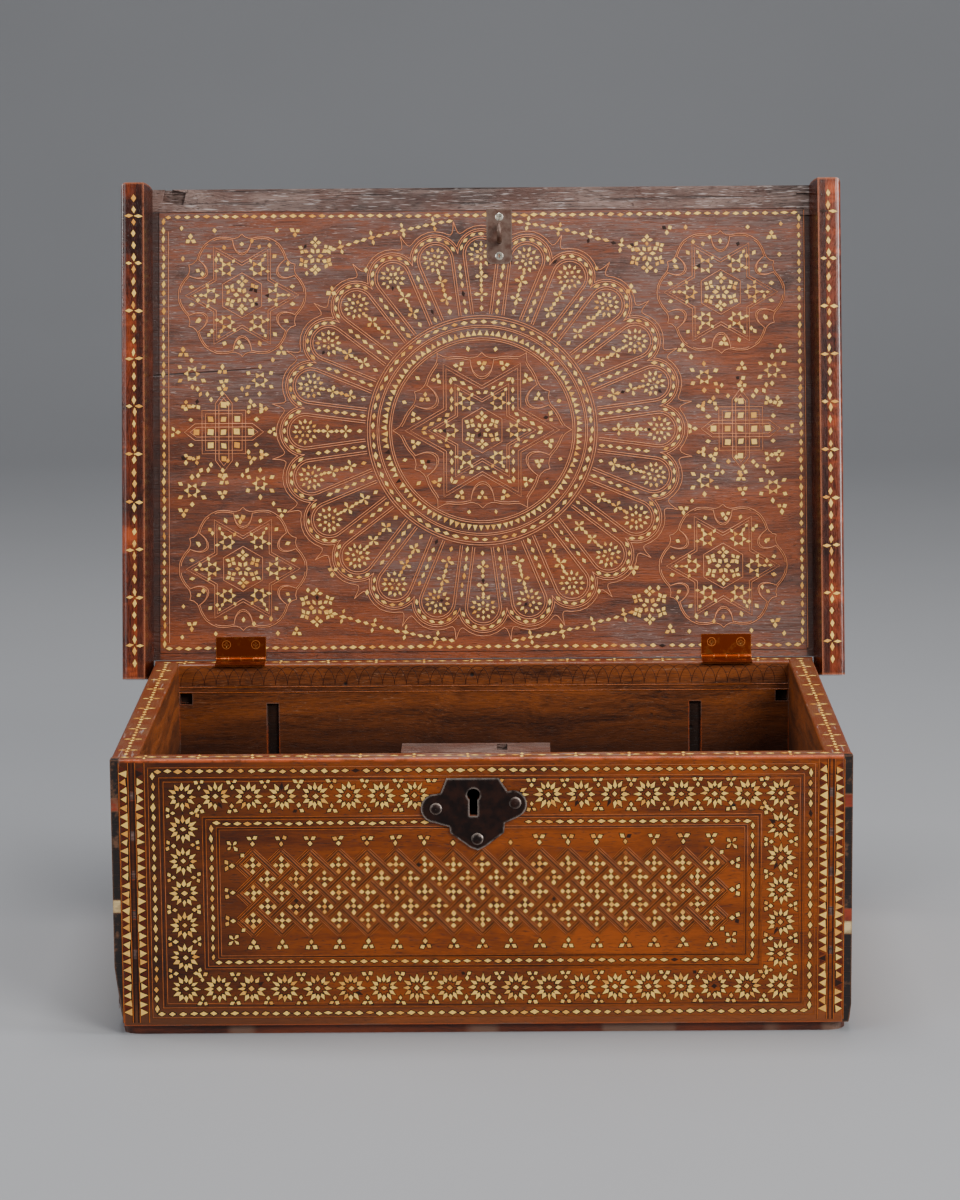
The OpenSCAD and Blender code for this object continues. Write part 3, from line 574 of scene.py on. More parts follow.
def raw_wood(name, on_lid, red_share):
    """Rough grey wood whose fibres stand up."""
    woods = bpy.context.scene.box_woods
    g = new_material(name)
    where = closed_lid_coordinates(g) if on_lid else object_coordinates(g)
    wood = grain(g, where, woods.raw_light, woods.raw_dark, 0.8, 1.0)
    patch = g.step(g.noise(where, 26.0, 5.0, 0.65), 0.40, 0.62, red_share - 0.5, red_share)
    colour = g.mix(patch, wood["Color"], woods.raw_red)
    streak = g.step(g.streaks(where, 0.03, 330.0, 3.0, 0.6), 0.55, 0.68)
    colour = g.mix(g.times(streak, 0.8), colour, woods.raw_dark)
    dry = g.step(g.streaks(where, 0.09, 900.0, 2.0, 0.6), 0.58, 0.68)
    colour = g.mix(g.times(dry, 1.1 - red_share), colour, woods.raw_dry)
    height = g.math("SUBTRACT", wood["Height"], streak)
    return g.dress(colour, g.step(wood["Fibre"], 0.3, 0.7, 0.7, 0.42), height, 0.0008, 0.9)


def block_wood(name, colour_name, roughness):
    """Small blocks of hard polished wood or bone, each a little different."""
    woods = bpy.context.scene.box_woods
    light = getattr(woods, colour_name)
    g = new_material(name)
    where = object_coordinates(g)
    wood = grain(g, where, light, [c * 0.4 for c in light], 1.0, 0.3)
    worn = g.times(g.step(g.noise(where, 85.0, 5.0, 0.7), 0.52, 0.66), 0.6)
    worn = g.math("MAXIMUM", worn, rubbed_edges(g, where, 0.0016, 0.75, 0.8))
    colour = g.mix(worn, wood["Color"], woods.block_worn)
    rough = g.step(wood["Fibre"], 0.3, 0.7, roughness, roughness + 0.2)
    return g.dress(colour, rough, wood["Height"], 0.0002, 0.5)


def bone_material():
    """Old bone: each chip has its own tone, with fine grain and stained spots."""
    inlay = bpy.context.scene.box_inlay
    g = new_material("bone")
    where = object_coordinates(g)
    tone = g.add("Attribute", attribute_name="tone").outputs["Fac"]
    cloud = g.noise(where, 700.0, 4.0, 0.6)
    stain = g.plus(g.times(tone, 1.15), g.math("SUBTRACT", cloud, 0.62), clamp=True)
    colour = g.mix(stain, inlay.bone, inlay.bone_stained)
    dirt = g.times(g.step(g.noise(where, 420.0, 3.0), 0.60, 0.78), 0.5)
    colour = g.mix(dirt, colour, inlay.bone_dirt)
    return g.dress(colour, g.step(cloud, 0.3, 0.7, 0.30, 0.48), cloud, 0.0001, 0.4)


def chip_wood(name, depth=0.45):
    """Flat chips and strings in the inlay colour of that name, clouded towards a darker tone."""
    light = getattr(bpy.context.scene.box_inlay, name)
    dark = [c * depth for c in light]
    g = new_material(name)
    where = object_coordinates(g)
    cloud = g.noise(where, 260.0, 4.0, 0.6)
    fade = g.noise(where, 30.0, 3.0, 0.6)
    colour = g.mix(g.step(cloud, 0.3, 0.7, 0.0, 0.7), light, dark)
    colour = g.mix(g.step(fade, 0.52, 0.75, 0.0, 0.6), colour, dark)
    return g.dress(colour, g.step(cloud, 0.3, 0.7, 0.36, 0.55), Specular_IOR_Level=0.3)


def brass_material():
    """Brass with a brown patina on its flats and polish on its edges and knuckles."""
    metals = bpy.context.scene.box_metals
    g = new_material("brass")
    where = object_coordinates(g)
    patina = g.step(g.noise(where, 90.0, 5.0, 0.65), 0.30, 0.50)
    patina = g.step(patina, 0.0, 1.0, 0.7, 0.97)
    colour = g.mix(patina, metals.brass, metals.brass_dull)
    colour = g.mix(rubbed_edges(g, where, 0.0005, 0.6), colour, metals.brass)
    rough = g.plus(g.step(patina, 0.7, 0.97, 0.24, 0.38), g.times(g.noise(where, 900.0, 3.0), 0.08))
    return g.dress(colour, rough, g.noise(where, 260.0, 4.0), 0.00012, 0.35, Metallic=1.0)


def iron_material(name, base, rust, edge_share):
    """Old dark iron: hammered, brown with oxide, bright only where hands have rubbed it, with a
    painted highlight on those edges.
    """
    g = new_material(name)
    where = object_coordinates(g)
    cloud = g.noise(where, 160.0, 5.0, 0.6)
    colour = g.mix(g.step(cloud, 0.35, 0.7), base, rust)
    # Pale bare iron on the rubbed edges: wear, with a painted highlight.
    rubbed = rubbed_edges(g, where, 0.0022, 0.85, edge_share)
    colour = g.mix(rubbed, colour, bpy.context.scene.box_metals.iron_wear_and_highlight)
    g.put(g.shader.inputs["Metallic"], g.step(rubbed, 0.0, 1.0, 0.55, 1.0))
    hammered = g.plus(g.noise(where, 110.0, 2.0), g.times(cloud, 0.4))
    return g.dress(colour, g.step(cloud, 0.3, 0.7, 0.38, 0.62), hammered, 0.0005, 0.6)


def nickel_material():
    """Bright plated screws with fine turning marks and dirt in the slots."""
    metals = bpy.context.scene.box_metals
    g = new_material("nickel")
    where = object_coordinates(g)
    cloud = g.noise(where, 380.0, 4.0)
    colour = g.mix(g.step(cloud, 0.55, 0.75, 0.0, 0.5), metals.nickel, metals.nickel_dirt)
    marks = g.noise(where, 1500.0, 2.0)
    return g.dress(colour, g.step(cloud, 0.3, 0.7, 0.2, 0.36), marks, 0.00005, 0.3, Metallic=1.0)


# ---------------------------------------------------------------- flat faces


class Face:
    """A flat face to inlay: its centre, its right and up directions, and its size in mm."""

    def __init__(self, centre, right, up, width, height, body, place=None):
        self.body = body
        self.width = width / MM
        self.height = height / MM
        right = Vector(right)
        up = Vector(up)
        axes = Matrix((right, up, right.cross(up))).transposed().to_4x4()
        local = Matrix.Translation(centre) @ axes @ Matrix.Scale(MM, 4)
        self.matrix = (place or Matrix.Identity(4)) @ local


def opened():
    """The matrix that turns a closed lid to where it stands open."""
    turn = Matrix.Rotation(-LID_ANGLE, 4, "X")
    return Matrix.Translation(HINGE_POINT) @ turn @ Matrix.Translation(-HINGE_POINT)


def closed_box(node):
    """Lowest and highest corner of a lid node as it lies when the lid is shut."""
    back = opened().inverted()
    points = [back @ v.co for v in NODES[node].data.vertices]
    low = Vector(min(p[i] for p in points) for i in range(3))
    high = Vector(max(p[i] for p in points) for i in range(3))
    return low, high


def wall_faces():
    """The outer faces of the four walls."""
    front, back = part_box("front_board"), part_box("back_board")
    left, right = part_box("side_board_left"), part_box("side_board_right")
    mid_z = (front[0].z + front[1].z) / 2
    tall = front[1].z - front[0].z
    wide = right[1].x - left[0].x
    deep = back[1].y - front[0].y
    return {
        "front": Face((0, front[0].y, mid_z), (1, 0, 0), (0, 0, 1), wide, tall, "box"),
        "back": Face((0, back[1].y, mid_z), (-1, 0, 0), (0, 0, 1), wide, tall, "box"),
        "left": Face((left[0].x, 0, mid_z), (0, -1, 0), (0, 0, 1), deep, tall, "box"),
        "right": Face((right[1].x, 0, mid_z), (0, 1, 0), (0, 0, 1), deep, tall, "box"),
    }


# ---------------------------------------------------------------- patterns


def polar(radius, degrees, x=0.0, y=0.0):
    angle = math.radians(degrees)
    return x + radius * math.cos(angle), y + radius * math.sin(angle)


def arc(radius, start, end, x=0.0, y=0.0, step=2.2):
    """Points along an arc, about step millimetres apart."""
    count = max(3, math.ceil(abs(math.radians(end - start)) * radius / step))
    return [polar(radius, start + (end - start) * i / count, x, y) for i in range(count + 1)]


def rectangle(half_w, half_h):
    return [(-half_w, -half_h), (half_w, -half_h), (half_w, half_h), (-half_w, half_h)]


def star(radius):
    """Outline of a six-pointed star, from one tip round."""
    inner = radius / math.sqrt(3)
    return [polar(inner if i % 2 else radius, 30 * i) for i in range(12)]


def offset(points, distance, closed=True):
    """The path moved to its left by a distance, with mitred corners."""
    moved = []
    count = len(points)
    for i, point in enumerate(points):
        before = points[i - 1] if closed or i > 0 else point
        after = points[(i + 1) % count] if closed or i < count - 1 else point
        normals = []
        for a, b in ((before, point), (point, after)):
            dx, dy = b[0] - a[0], b[1] - a[1]
            size = math.hypot(dx, dy)
            if size > 1e-9:
                normals.append((-dy / size, dx / size))
        nx = sum(n[0] for n in normals)
        ny = sum(n[1] for n in normals)
        scale = 2 * distance / max(nx * nx + ny * ny, 0.4) if len(normals) == 2 else distance
        moved.append((point[0] + nx * scale, point[1] + ny * scale))
    return moved


class Pattern:
    """Chips and lines in millimetres on a flat face, gathered before they're made."""

    def __init__(self):
        self.chips = []
        self.lines = []

    def chip(self, shape, x, y, angle, length, width, wood="bone"):
        self.chips.append((wood, shape, x, y, angle, length, width))

    def line(self, points, closed=False, wood="pale"):
        self.lines.append((wood, list(points), closed))

    def twin(self, points, gap, closed=False, wood="pale"):
        """Two parallel lines."""
        for side in (-0.5, 0.5):
            self.line(offset(points, side * gap, closed), closed, wood)

    def place(self, other, x=0.0, y=0.0, turn=0.0, flip_x=False, flip_y=False):
        """Adds a copy of another pattern, flipped, then turned, then moved."""
        cos, sin = math.cos(math.radians(turn)), math.sin(math.radians(turn))
        sx, sy = (-1 if flip_x else 1), (-1 if flip_y else 1)

        def moved(px, py):
            px, py = px * sx, py * sy
            return x + px * cos - py * sin, y + px * sin + py * cos

        for wood, shape, px, py, angle, length, width in other.chips:
            if flip_x:
                angle = 180 - angle
            if flip_y:
                angle = -angle
            self.chips.append((wood, shape, *moved(px, py), angle + turn, length, width))
        for wood, points, closed in other.lines:
            self.lines.append((wood, [moved(*p) for p in points], closed))
        return self

    def clear(self, left, bottom, right, top):
        """Takes out the chips within a rectangle."""
        self.chips = [c for c in self.chips
                      if not (left < c[2] < right and bottom < c[3] < top)]

    def mirror_four(self, other):
        for flip_x in (False, True):
            for flip_y in (False, True):
                self.place(other, flip_x=flip_x, flip_y=flip_y)

    def ring(self, shape, radius, count, length, width, start=0.0, turn=0.0, x=0.0, y=0.0):
        for i in range(count):
            angle = start + 360 * i / count
            self.chip(shape, *polar(radius, angle, x, y), angle + turn, length, width)

    def along(self, points, pitch, length, width, closed=False):
        """Chips spaced evenly along each straight piece of a path."""
        pairs = list(zip(points, points[1:] + points[:1] if closed else points[1:]))
        for (ax, ay), (bx, by) in pairs:
            size = math.hypot(bx - ax, by - ay)
            count = max(1, round(size / pitch))
            angle = math.degrees(math.atan2(by - ay, bx - ax))
            for i in range(count):
                share = (i + 0.5) / count
                self.chip("rhomb", ax + (bx - ax) * share, ay + (by - ay) * share, angle,
                          length, width)

    def along_curve(self, path, pitch, length, width):
        """Chips spaced evenly along a smooth path as a whole."""
        sizes = [math.hypot(b[0] - a[0], b[1] - a[1]) for a, b in zip(path, path[1:])]
        total = sum(sizes)
        count = max(1, round(total / pitch))
        for k in range(count):
            left = total * (k + 0.5) / count
            for (a, b), size in zip(zip(path, path[1:]), sizes):
                if left <= size:
                    break
                left -= size
            share = left / size
            angle = math.degrees(math.atan2(b[1] - a[1], b[0] - a[0]))
            self.chip("rhomb", a[0] + (b[0] - a[0]) * share, a[1] + (b[1] - a[1]) * share,
                      angle, length, width)


def trefoil(size=1.0, start=90.0):
    p = Pattern()
    p.ring("rhomb", 2.35 * size, 3, 3.6 * size, 2.8 * size, start=start)
    return p


def cross(size=1.0, start=0.0):
    """Four pointed chips in a cross."""
    p = Pattern()
    p.ring("kite", 2.6 * size, 4, 4.0 * size, 2.2 * size, start=start, turn=180)
    return p


def quincunx():
    """Five square chips: one in the middle and four around it."""
    p = Pattern()
    p.chip("rhomb", 0, 0, 0, 3.4, 3.4)
    p.ring("rhomb", 3.7, 4, 3.5, 3.2)
    return p


def rosette(inner=3.9, outer=9.0, petals=12, width=2.6, heart=3.6):
    p = Pattern()
    p.ring("kite", (inner + outer) / 2, petals, outer - inner, width, start=0)
    p.chip("rhomb", 0, 0, 0, heart, heart * 0.9)
    return p


def flower():
    """Six rhombs in a ring with six clusters of four around them."""
    p = Pattern()
    p.ring("rhomb", 3.7, 6, 3.5, 2.6, start=0)
    for k in range(6):
        x, y = polar(9.6, 30 + 60 * k)
        p.ring("rhomb", 2.3, 4, 3.2, 2.4, start=30 + 60 * k, x=x, y=y)
    return p


def six_triangles():
    p = Pattern()
    p.ring("triangle", 4.3, 6, 2.6, 2.9, start=0)
    return p


def snowflake():
    p = six_triangles()
    p.ring("rhomb", 9.4, 6, 3.6, 2.6, start=30)
    return p


# ---------------------------------------------------------------- the walls' pattern


def triangle_columns(p, half_w, half_h):
    """Bone teeth down both edges, with red wood between them and pegged strips inside."""
    pitch = 5.45
    count = int((2 * half_h - 8) / pitch)
    for side in (-1, 1):
        for i in range(count):
            y = (i - (count - 1) / 2) * pitch
            inward, outward = (0, 180) if side < 0 else (180, 0)
            p.chip("triangle", side * (half_w - 18.3), y, inward, 4.4, 4.6)
            p.chip("triangle", side * (half_w - 7.9), y, outward, 4.5, 4.6)
            between = y + pitch / 2
            p.chip("triangle", side * (half_w - 18.4), between, outward, 3.8, 3.8, "red")
            p.chip("triangle", side * (half_w - 8.0), between, inward, 3.8, 3.8, "red")
        for x in (-21.2, -15.4, -11.0, -5.2):
            column = side * (half_w + x)
            p.line([(column, -half_h + 2), (column, half_h - 2)])
        for x in (-14.4, -12.0):
            column = side * (half_w + x)
            p.line([(column, -half_h + 2), (column, half_h - 2)], wood="dark")


def wall_pattern(width, height, teeth=True):
    """Borders, a band of rosettes, a framed panel of crosses and woven straps."""
    p = Pattern()
    half_w, half_h = width / 2, height / 2
    if teeth:
        triangle_columns(p, half_w, half_h)
    border = (half_w - 26.2, half_h - 7.5)
    p.along(rectangle(*border), 6.5, 4.9, 2.8, closed=True)
    for grow, wood in ((2.8, "pale"), (-3.9, "pale"), (-5.2, "dark"), (-6.6, "pale")):
        p.line(rectangle(border[0] + grow, border[1] + min(grow, 2.4)), True, wood)
    band_w, band_h = half_w - 44.4, half_h - 23.5
    across = round(2 * band_w / 20.62)
    down = max(2, round(2 * band_h / 20.5))
    step_x, step_y = 2 * band_w / across, 2 * band_h / down
    spots = [(-band_w + i * step_x, side * band_h) for i in range(across + 1) for side in (-1, 1)]
    spots += [(side * band_w, -band_h + j * step_y) for j in range(1, down) for side in (-1, 1)]
    for x, y in spots:
        p.place(rosette(), x, y)
    for i in range(across):
        x = -band_w + (i + 0.5) * step_x
        for side in (-1, 1):
            p.place(trefoil(0.9, -90 * side), x, side * (band_h + 8.2))
            p.place(trefoil(0.9, 90 * side), x, side * (band_h - 8.2))
    for j in range(down):
        y = -band_h + (j + 0.5) * step_y
        for side in (-1, 1):
            p.place(trefoil(0.9, 180 if side > 0 else 0), side * (band_w + 8.2), y)
            p.place(trefoil(0.9, 0 if side > 0 else 180), side * (band_w - 8.2), y)
    inner = (half_w - 62.0, half_h - 40.7)
    p.along(rectangle(*inner), 6.5, 4.8, 2.5, closed=True)
    for grow, wood in ((5.4, "pale"), (4.2, "dark"), (3.2, "pale"), (-3.2, "pale"),
                       (-4.1, "dark"), (-5.0, "pale")):
        p.line(rectangle(inner[0] + grow, inner[1] + grow * 0.8), True, wood)
    panel_field(p, inner[0] - 5.4, inner[1] - 4.4)
    return p


def panel_field(p, half_w, half_h):
    """Trefoils round the edge, crosses in rows, and straps woven between the crosses."""
    cols = round((2 * half_w - 40) / 17.9)
    rows = max(2, round((2 * half_h - 47) / 17.6))
    step_x = (2 * half_w - 40) / cols
    step_y = (2 * half_h - 46) / rows if rows > 2 else 17.6
    left, low = -cols * step_x / 2, -rows * step_y / 2
    for i in range(cols + 1):
        for side in (-1, 1):
            p.place(trefoil(1.0, -90 * side), left + i * step_x, side * (half_h - 6.2))
    for j in range(rows + 1):
        for side in (-1, 1):
            start = 180 if side > 0 else 0
            p.place(trefoil(1.0, start), side * (half_w - 4.8), low + j * step_y)
    for side in (-1, 1):
        for up in (-1, 1):
            x, y = side * (half_w - 7.6), up * (half_h - 9.8)
            p.place(cross(0.95, 45), x, y)
            p.chip("rhomb", x - side * 6, y - up * 6, 45, 3, 2.6)
    for j in range(2 * rows + 1):
        shift = j % 2
        for i in range(cols + 1 - shift):
            p.place(quincunx(), left + (i + shift / 2) * step_x, low + j * step_y / 2)
    woven_straps(p, left, low, cols, rows, step_x, step_y)


def woven_straps(p, left, low, cols, rows, step_x, step_y):
    """Straps at a slant between the crosses. Each passes over one strap and under the next."""
    half_x, half_y = step_x / 2, step_y / 2
    last_i, last_j = 2 * cols + 1, 2 * rows + 1
    for i in range(-1, last_i):
        for j in range(-1, last_j):
            x, y = left + (i + 0.5) * half_x, low + (j + 0.5) * half_y
            slant = 1 if (i + j) % 2 else -1
            ends = ((i, j), (i + 1, j + 1)) if slant > 0 else ((i, j + 1), (i + 1, j))
            points = []
            for (ci, cj), sign in zip(ends, (-1, 1)):
                at_edge = ci in (-1, last_i) or cj in (-1, last_j)
                over = (slant > 0) == (ci % 2 == 0)
                reach = 0.5 if over or at_edge else 0.29
                points.append((x + sign * reach * half_x, y + sign * slant * reach * half_y))
            p.line(points, wood="strap")
            p.twin(points, 4.0)
            p.twin(points, 1.7)


def garland_strip(length):
    """A row of diamonds along X, crossed by a pair in every fourth gap."""
    p = Pattern()
    pitch = 8.35
    count = int((length - 6) / pitch)
    start = -(count - 1) / 2
    for i in range(count):
        x = (start + i) * pitch
        p.chip("rhomb", x, 0, 0, 5.2, 2.7)
        if i % 4 == 1 and i < count - 1:
            for side in (-1, 1):
                p.chip("rhomb", x + pitch / 2, side * 3.3, 90, 5.2, 2.2)
    return p


def incised_arcs(length):
    """A band of interlaced round arches above two lines."""
    p = Pattern()
    pitch, radius = 8.3, 8.3
    count = int((length - 2 * radius) / pitch)
    for i in range(count + 1):
        x = (i - count / 2) * pitch
        p.line([(x + radius * math.cos(math.radians(t)), 13 * math.sin(math.radians(t)))
                for t in range(0, 181, 15)], wood="cut")
    for y in (-1.2, -5.0):
        p.line([(-length / 2, y), (length / 2, y)])
    return p


# ---------------------------------------------------------------- the lid's pattern


def star_ray(middle, tips, beside):
    """What fills a star's point along X: triangles, chips at its tip and one chip at each side."""
    p = Pattern()
    p.place(six_triangles(), middle, 0)
    for x, length, width in tips:
        p.chip("rhomb", x, 0, 0, length, width)
    x, y, length, width = beside
    for side in (-1, 1):
        p.chip("rhomb", x, side * y, 60 * side, length, width)
    return p


def medallion():
    """A star in a ring, with twenty-four arched petals around it."""
    p = Pattern()
    for radius in (79.6, 77.9, 72.9, 71.6, 64.2, 62.8):
        p.line(arc(radius, 0, 360)[:-1], True)
    p.ring("rhomb", 75.7, 69, 4.4, 2.3, turn=90)
    p.ring("triangle", 67.8, 99, 3.3, 3.1)
    outline = star(51.6)
    p.twin(outline, 1.9, True)
    p.along(offset(outline, 4.4), 5.6, 4.0, 2.2, True)
    p.twin(offset(outline, 8.0), 1.6, True)
    p.line([polar(15.8, 30 + 60 * k) for k in range(6)], True)
    p.place(flower())
    for k in range(6):
        ray = star_ray(22.0, ((29.0, 3.0, 2.0), (32.8, 2.4, 1.8)), (25.0, 6.4, 3.0, 2.0))
        p.place(ray, turn=60 * k)
        p.place(trefoil(0.95, -90), *polar(45.5, 30 + 60 * k), turn=60 * k - 60)
        for side in (-11, 11):
            p.place(trefoil(0.95, 180), *polar(47.4, 60 * k + side), turn=60 * k + side)
        for side in (-9.5, 9.5):
            x, y = polar(57.4, 30 + 60 * k + side)
            p.chip("rhomb", x, y, 30 + 60 * k + side, 3.2, 2.4)
        p.place(cusped_band(), turn=60 * k)
    for k in range(24):
        p.place(petal(), turn=15 * k)
    return p


def cusped_band(scale=1.0, peak=62.0):
    """A sixth of the band round a star: pointed hoods outside, loops that dip between its tips."""
    p = Pattern()
    hood = [(t, 55.7 + (peak - 55.7) * (1 - t / 6) ** 2) for t in (0, 1, 3, 6)]
    hood += [(10, 54.6), (15, 53), (20, 51), (23, 50.6), (27, 51.5), (30, 54)]
    loop = ((20.5, 50), (20.4, 46.9), (21, 43), (23, 39.9), (26, 37.9), (30, 37.1))
    for side in (-1, 1):
        for path in (hood, hood[2:7], loop):
            inward = 1.5 if path is not hood else 0
            p.line([polar((r - inward) * scale, a * side) for a, r in path])
        p.line([polar(r * scale, a * side) for a, r in loop])
    return p


def petal():
    """One arched petal pointing along X, with half of the border on each side of it."""
    p = Pattern()
    centre, half_turn = 122.6, 7.5
    gap = centre * math.sin(math.radians(half_turn))
    p.place(rosette(5.9, 8.9, 12, 1.9, 0.1), centre, 0)
    p.ring("rhomb", 3.2, 6, 2.5, 1.9, x=centre)
    p.chip("rhomb", 85.0, 0, 0, 3.4, 2.3)
    for x in (94.5, 107.1):
        p.place(cross(0.95), x, 0)
    p.chip("rhomb", 100.8, 0, 0, 3.2, 2.2)
    p.chip("rhomb", 113.2, 0, 0, 3.0, 2.0)
    for radius in (10.9, 12.5):
        arch = arc(radius, -90 - half_turn, 90 + half_turn, centre, 0)
        feet = [polar(81, side * half_turn) for side in (-1, 1)]
        inward = [polar(gap - radius, side * (half_turn - 90)) for side in (-1, 1)]
        feet = [(f[0] + i[0], f[1] + i[1]) for f, i in zip(feet, inward)]
        p.line([feet[0], *arch, feet[1]])
    for radius in (16.2, 17.6):
        reach = 90 + half_turn - math.degrees(math.acos(gap / radius))
        p.line(arc(radius, -reach, reach, centre, 0))
    for i in range(6):
        p.chip("rhomb", *polar(83.5 + i * 6.2, half_turn), half_turn, 4.1, 2.2)
    p.along_curve(arc(14.4, -84, 84, centre, 0, 1.0), 6.0, 4.0, 2.1)
    outline = ((0, 142.6), (2, 142.0), (4, 140.2), (5.2, 138.4), (6.1, 137.6), (6.7, 138.8),
               (7.1, 141.6), (7.5, 146.5))
    for side in (-1, 1):
        p.line([polar(radius, side * angle) for angle, radius in outline])
    return p


def corner_star():
    """A smaller star with a wavy band around it."""
    p = Pattern()
    p.twin(star(37.7), 1.7, True)
    p.line([polar(15.6, 30 + 60 * k) for k in range(6)], True)
    p.place(flower())
    for k in range(6):
        ray = star_ray(21.4, ((28.6, 3.2, 2.0), (32.4, 2.4, 1.7)), (23.6, 6.8, 3.0, 1.9))
        p.place(ray, turn=60 * k)
        p.place(cusped_band(0.79, 56.0), turn=60 * k)
    p.ring("rhomb", 35.6, 18, 3.3, 2.5, start=10)
    return p


def knot():
    """Woven straps around a square of chips."""
    p = Pattern()
    for i in (-1, 0, 1):
        for j in (-1, 0, 1):
            p.chip("rhomb", i * 9.1, j * 9.1, 45, 5.0, 5.0)
    for k in range(4):
        x, y = polar(18.8, 90 * k)
        p.chip("rhomb", x, y, 45, 5.0, 5.0)
        for side in (-1, 1):
            outer = Pattern()
            outer.chip("rhomb", 22.6, 8.8 * side, 0, 3.2, 2.6)
            outer.chip("rhomb", 26.4, 16.0 * side, 30, 3.2, 2.4)
            p.place(outer, turn=90 * k)
        diagonal = polar(27.0, 45 + 90 * k)
        p.place(trefoil(0.9, 225 + 90 * k), *diagonal)
        p.place(trefoil(0.9, 90 * k + 180), *polar(34.0, 90 * k))
    for turn in (0, 90):
        loop = [(-19.5, -4.6), (19.5, -4.6), (25.5, 0), (19.5, 4.6), (-19.5, 4.6), (-25.5, 0)]
        strap = Pattern()
        strap.twin(loop, 2.4, True)
        p.place(strap, turn=turn)
    p.twin(rectangle(13.9, 13.9), 2.4, True)
    return p


def lid_pattern():
    """The lid's inner face: medallion, corner stars, knots and scattered sprigs."""
    p = Pattern()
    half_w, half_h = 220.5, 149.8
    for y in (-half_h, half_h):
        p.along([(-half_w, y), (half_w, y)], 6.7, 4.5, 2.3)
    for x in (-half_w, half_w):
        p.along([(x, -half_h), (x, half_h)], 6.2, 4.5, 2.3)
    p.line(rectangle(half_w + 3.2, half_h + 3.2), True, "dark")
    p.line([(-half_w + 3.4, -half_h + 4), (-half_w + 3.4, half_h - 10)])
    p.line([(half_w + 3.4, -half_h - 2), (half_w + 3.4, half_h + 2)])
    p.place(medallion())
    quarter = Pattern()
    quarter.place(corner_star(), 166, 95)
    quarter.place(snowflake(), 201, 40.5)
    quarter.place(snowflake(), 154, 36)
    quarter.place(flower(), 115, 122)
    garland(quarter)
    sprigs = ((201.5, 134, 90), (129, 139, -90), (104, 97, -30), (207, 55, 90), (180, 43, 90),
              (180, 29, -90), (205, 19, 90), (152, 16, 60), (139, 56, 90), (168, 60, 90))
    for x, y, start in sprigs:
        quarter.place(trefoil(0.95, start), x, y)
    singles = ((208, 142), (185, 140), (159, 133), (207, 121), (184, 120), (193, 110),
               (147, 130), (134, 117), (121, 110), (80, 112), (196, 92), (196, 78), (142, 140),
               (187, 70), (166, 30), (190, 26), (176, 20), (162, 14), (197, 30), (145, 50))
    for x, y in singles:
        quarter.chip("rhomb", x, y, 90, 3.2, 2.5)
    p.mirror_four(quarter)
    for flip in (False, True):
        p.place(knot(), -179 if flip else 179, 0, flip_x=flip)
    return p


def garland(p):
    """A shallow swag of chips with crosses, from a flower towards the middle."""
    start, end = (108, 125), (22, 145.5)
    sag = 2.0
    count, first_cross, to_next_cross = 17, 2, 4
    angle = math.degrees(math.atan2(end[1] - start[1], end[0] - start[0]))
    for i in range(count):
        share = i / (count - 1)
        x = start[0] + (end[0] - start[0]) * share
        y = start[1] + (end[1] - start[1]) * share + sag * math.sin(math.pi * share)
        p.chip("rhomb", x, y, angle, 4.2, 2.2)
        if i % to_next_cross == first_cross:
            for side in (-1, 1):
                cx, cy = polar(3.4 * side, angle + 90, x, y)
                p.chip("rhomb", cx, cy, angle + 90, 3.4, 1.9)


# ---------------------------------------------------------------- making inlay


def chip_mesh(shape):
    """A chip one unit long, wide and high, pointing along X, with its top edges eased."""
    bm = bmesh.new()
    segments = 3 if shape == "triangle" else 4
    bmesh.ops.create_circle(bm, cap_ends=True, segments=segments, radius=0.5,
                            matrix=Matrix.Rotation(-math.pi / 2, 4, "Z"))
    if shape == "triangle":
        for v in bm.verts:
            v.co.x = 0.5 if v.co.x > 0.2 else -0.5
            v.co.y = math.copysign(0.5, v.co.y) if v.co.x < 0 else 0.0
    if shape == "kite":
        for v in bm.verts:
            if abs(v.co.y) > 0.2:
                v.co.x = -0.16
    base = list(bm.faces)
    lifted = bmesh.ops.extrude_face_region(bm, geom=base)["geom"]
    top = [e for e in lifted if isinstance(e, bmesh.types.BMVert)]
    bmesh.ops.translate(bm, vec=(0, 0, 1), verts=top)
    rim = [e for e in lifted if isinstance(e, bmesh.types.BMEdge)]
    bmesh.ops.bevel(bm, geom=rim, offset=0.07, segments=1, profile=0.5, affect="EDGES",
                    material=-1)
    bmesh.ops.recalc_face_normals(bm, faces=bm.faces)
    mesh = bpy.data.meshes.new("chip_" + shape)
    bm.to_mesh(mesh)
    bm.free()
    return mesh


CHIP_MESHES = {}


def shape_of(shape):
    if shape not in CHIP_MESHES:
        mesh = chip_mesh(shape)
        points = np.empty(len(mesh.vertices) * 3, np.float32)
        mesh.vertices.foreach_get("co", points)
        CHIP_MESHES[shape] = (mesh, points.reshape(-1, 3))
    return CHIP_MESHES[shape]


def finish_piece(mesh, name, material, body):
    """Links a finished mesh as a piece that rides on a body."""
    mesh.materials.clear()
    mesh.materials.append(material)
    piece = bpy.data.objects.new(name, mesh)
    bpy.context.scene.collection.objects.link(piece)
    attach(piece, body)
    return piece


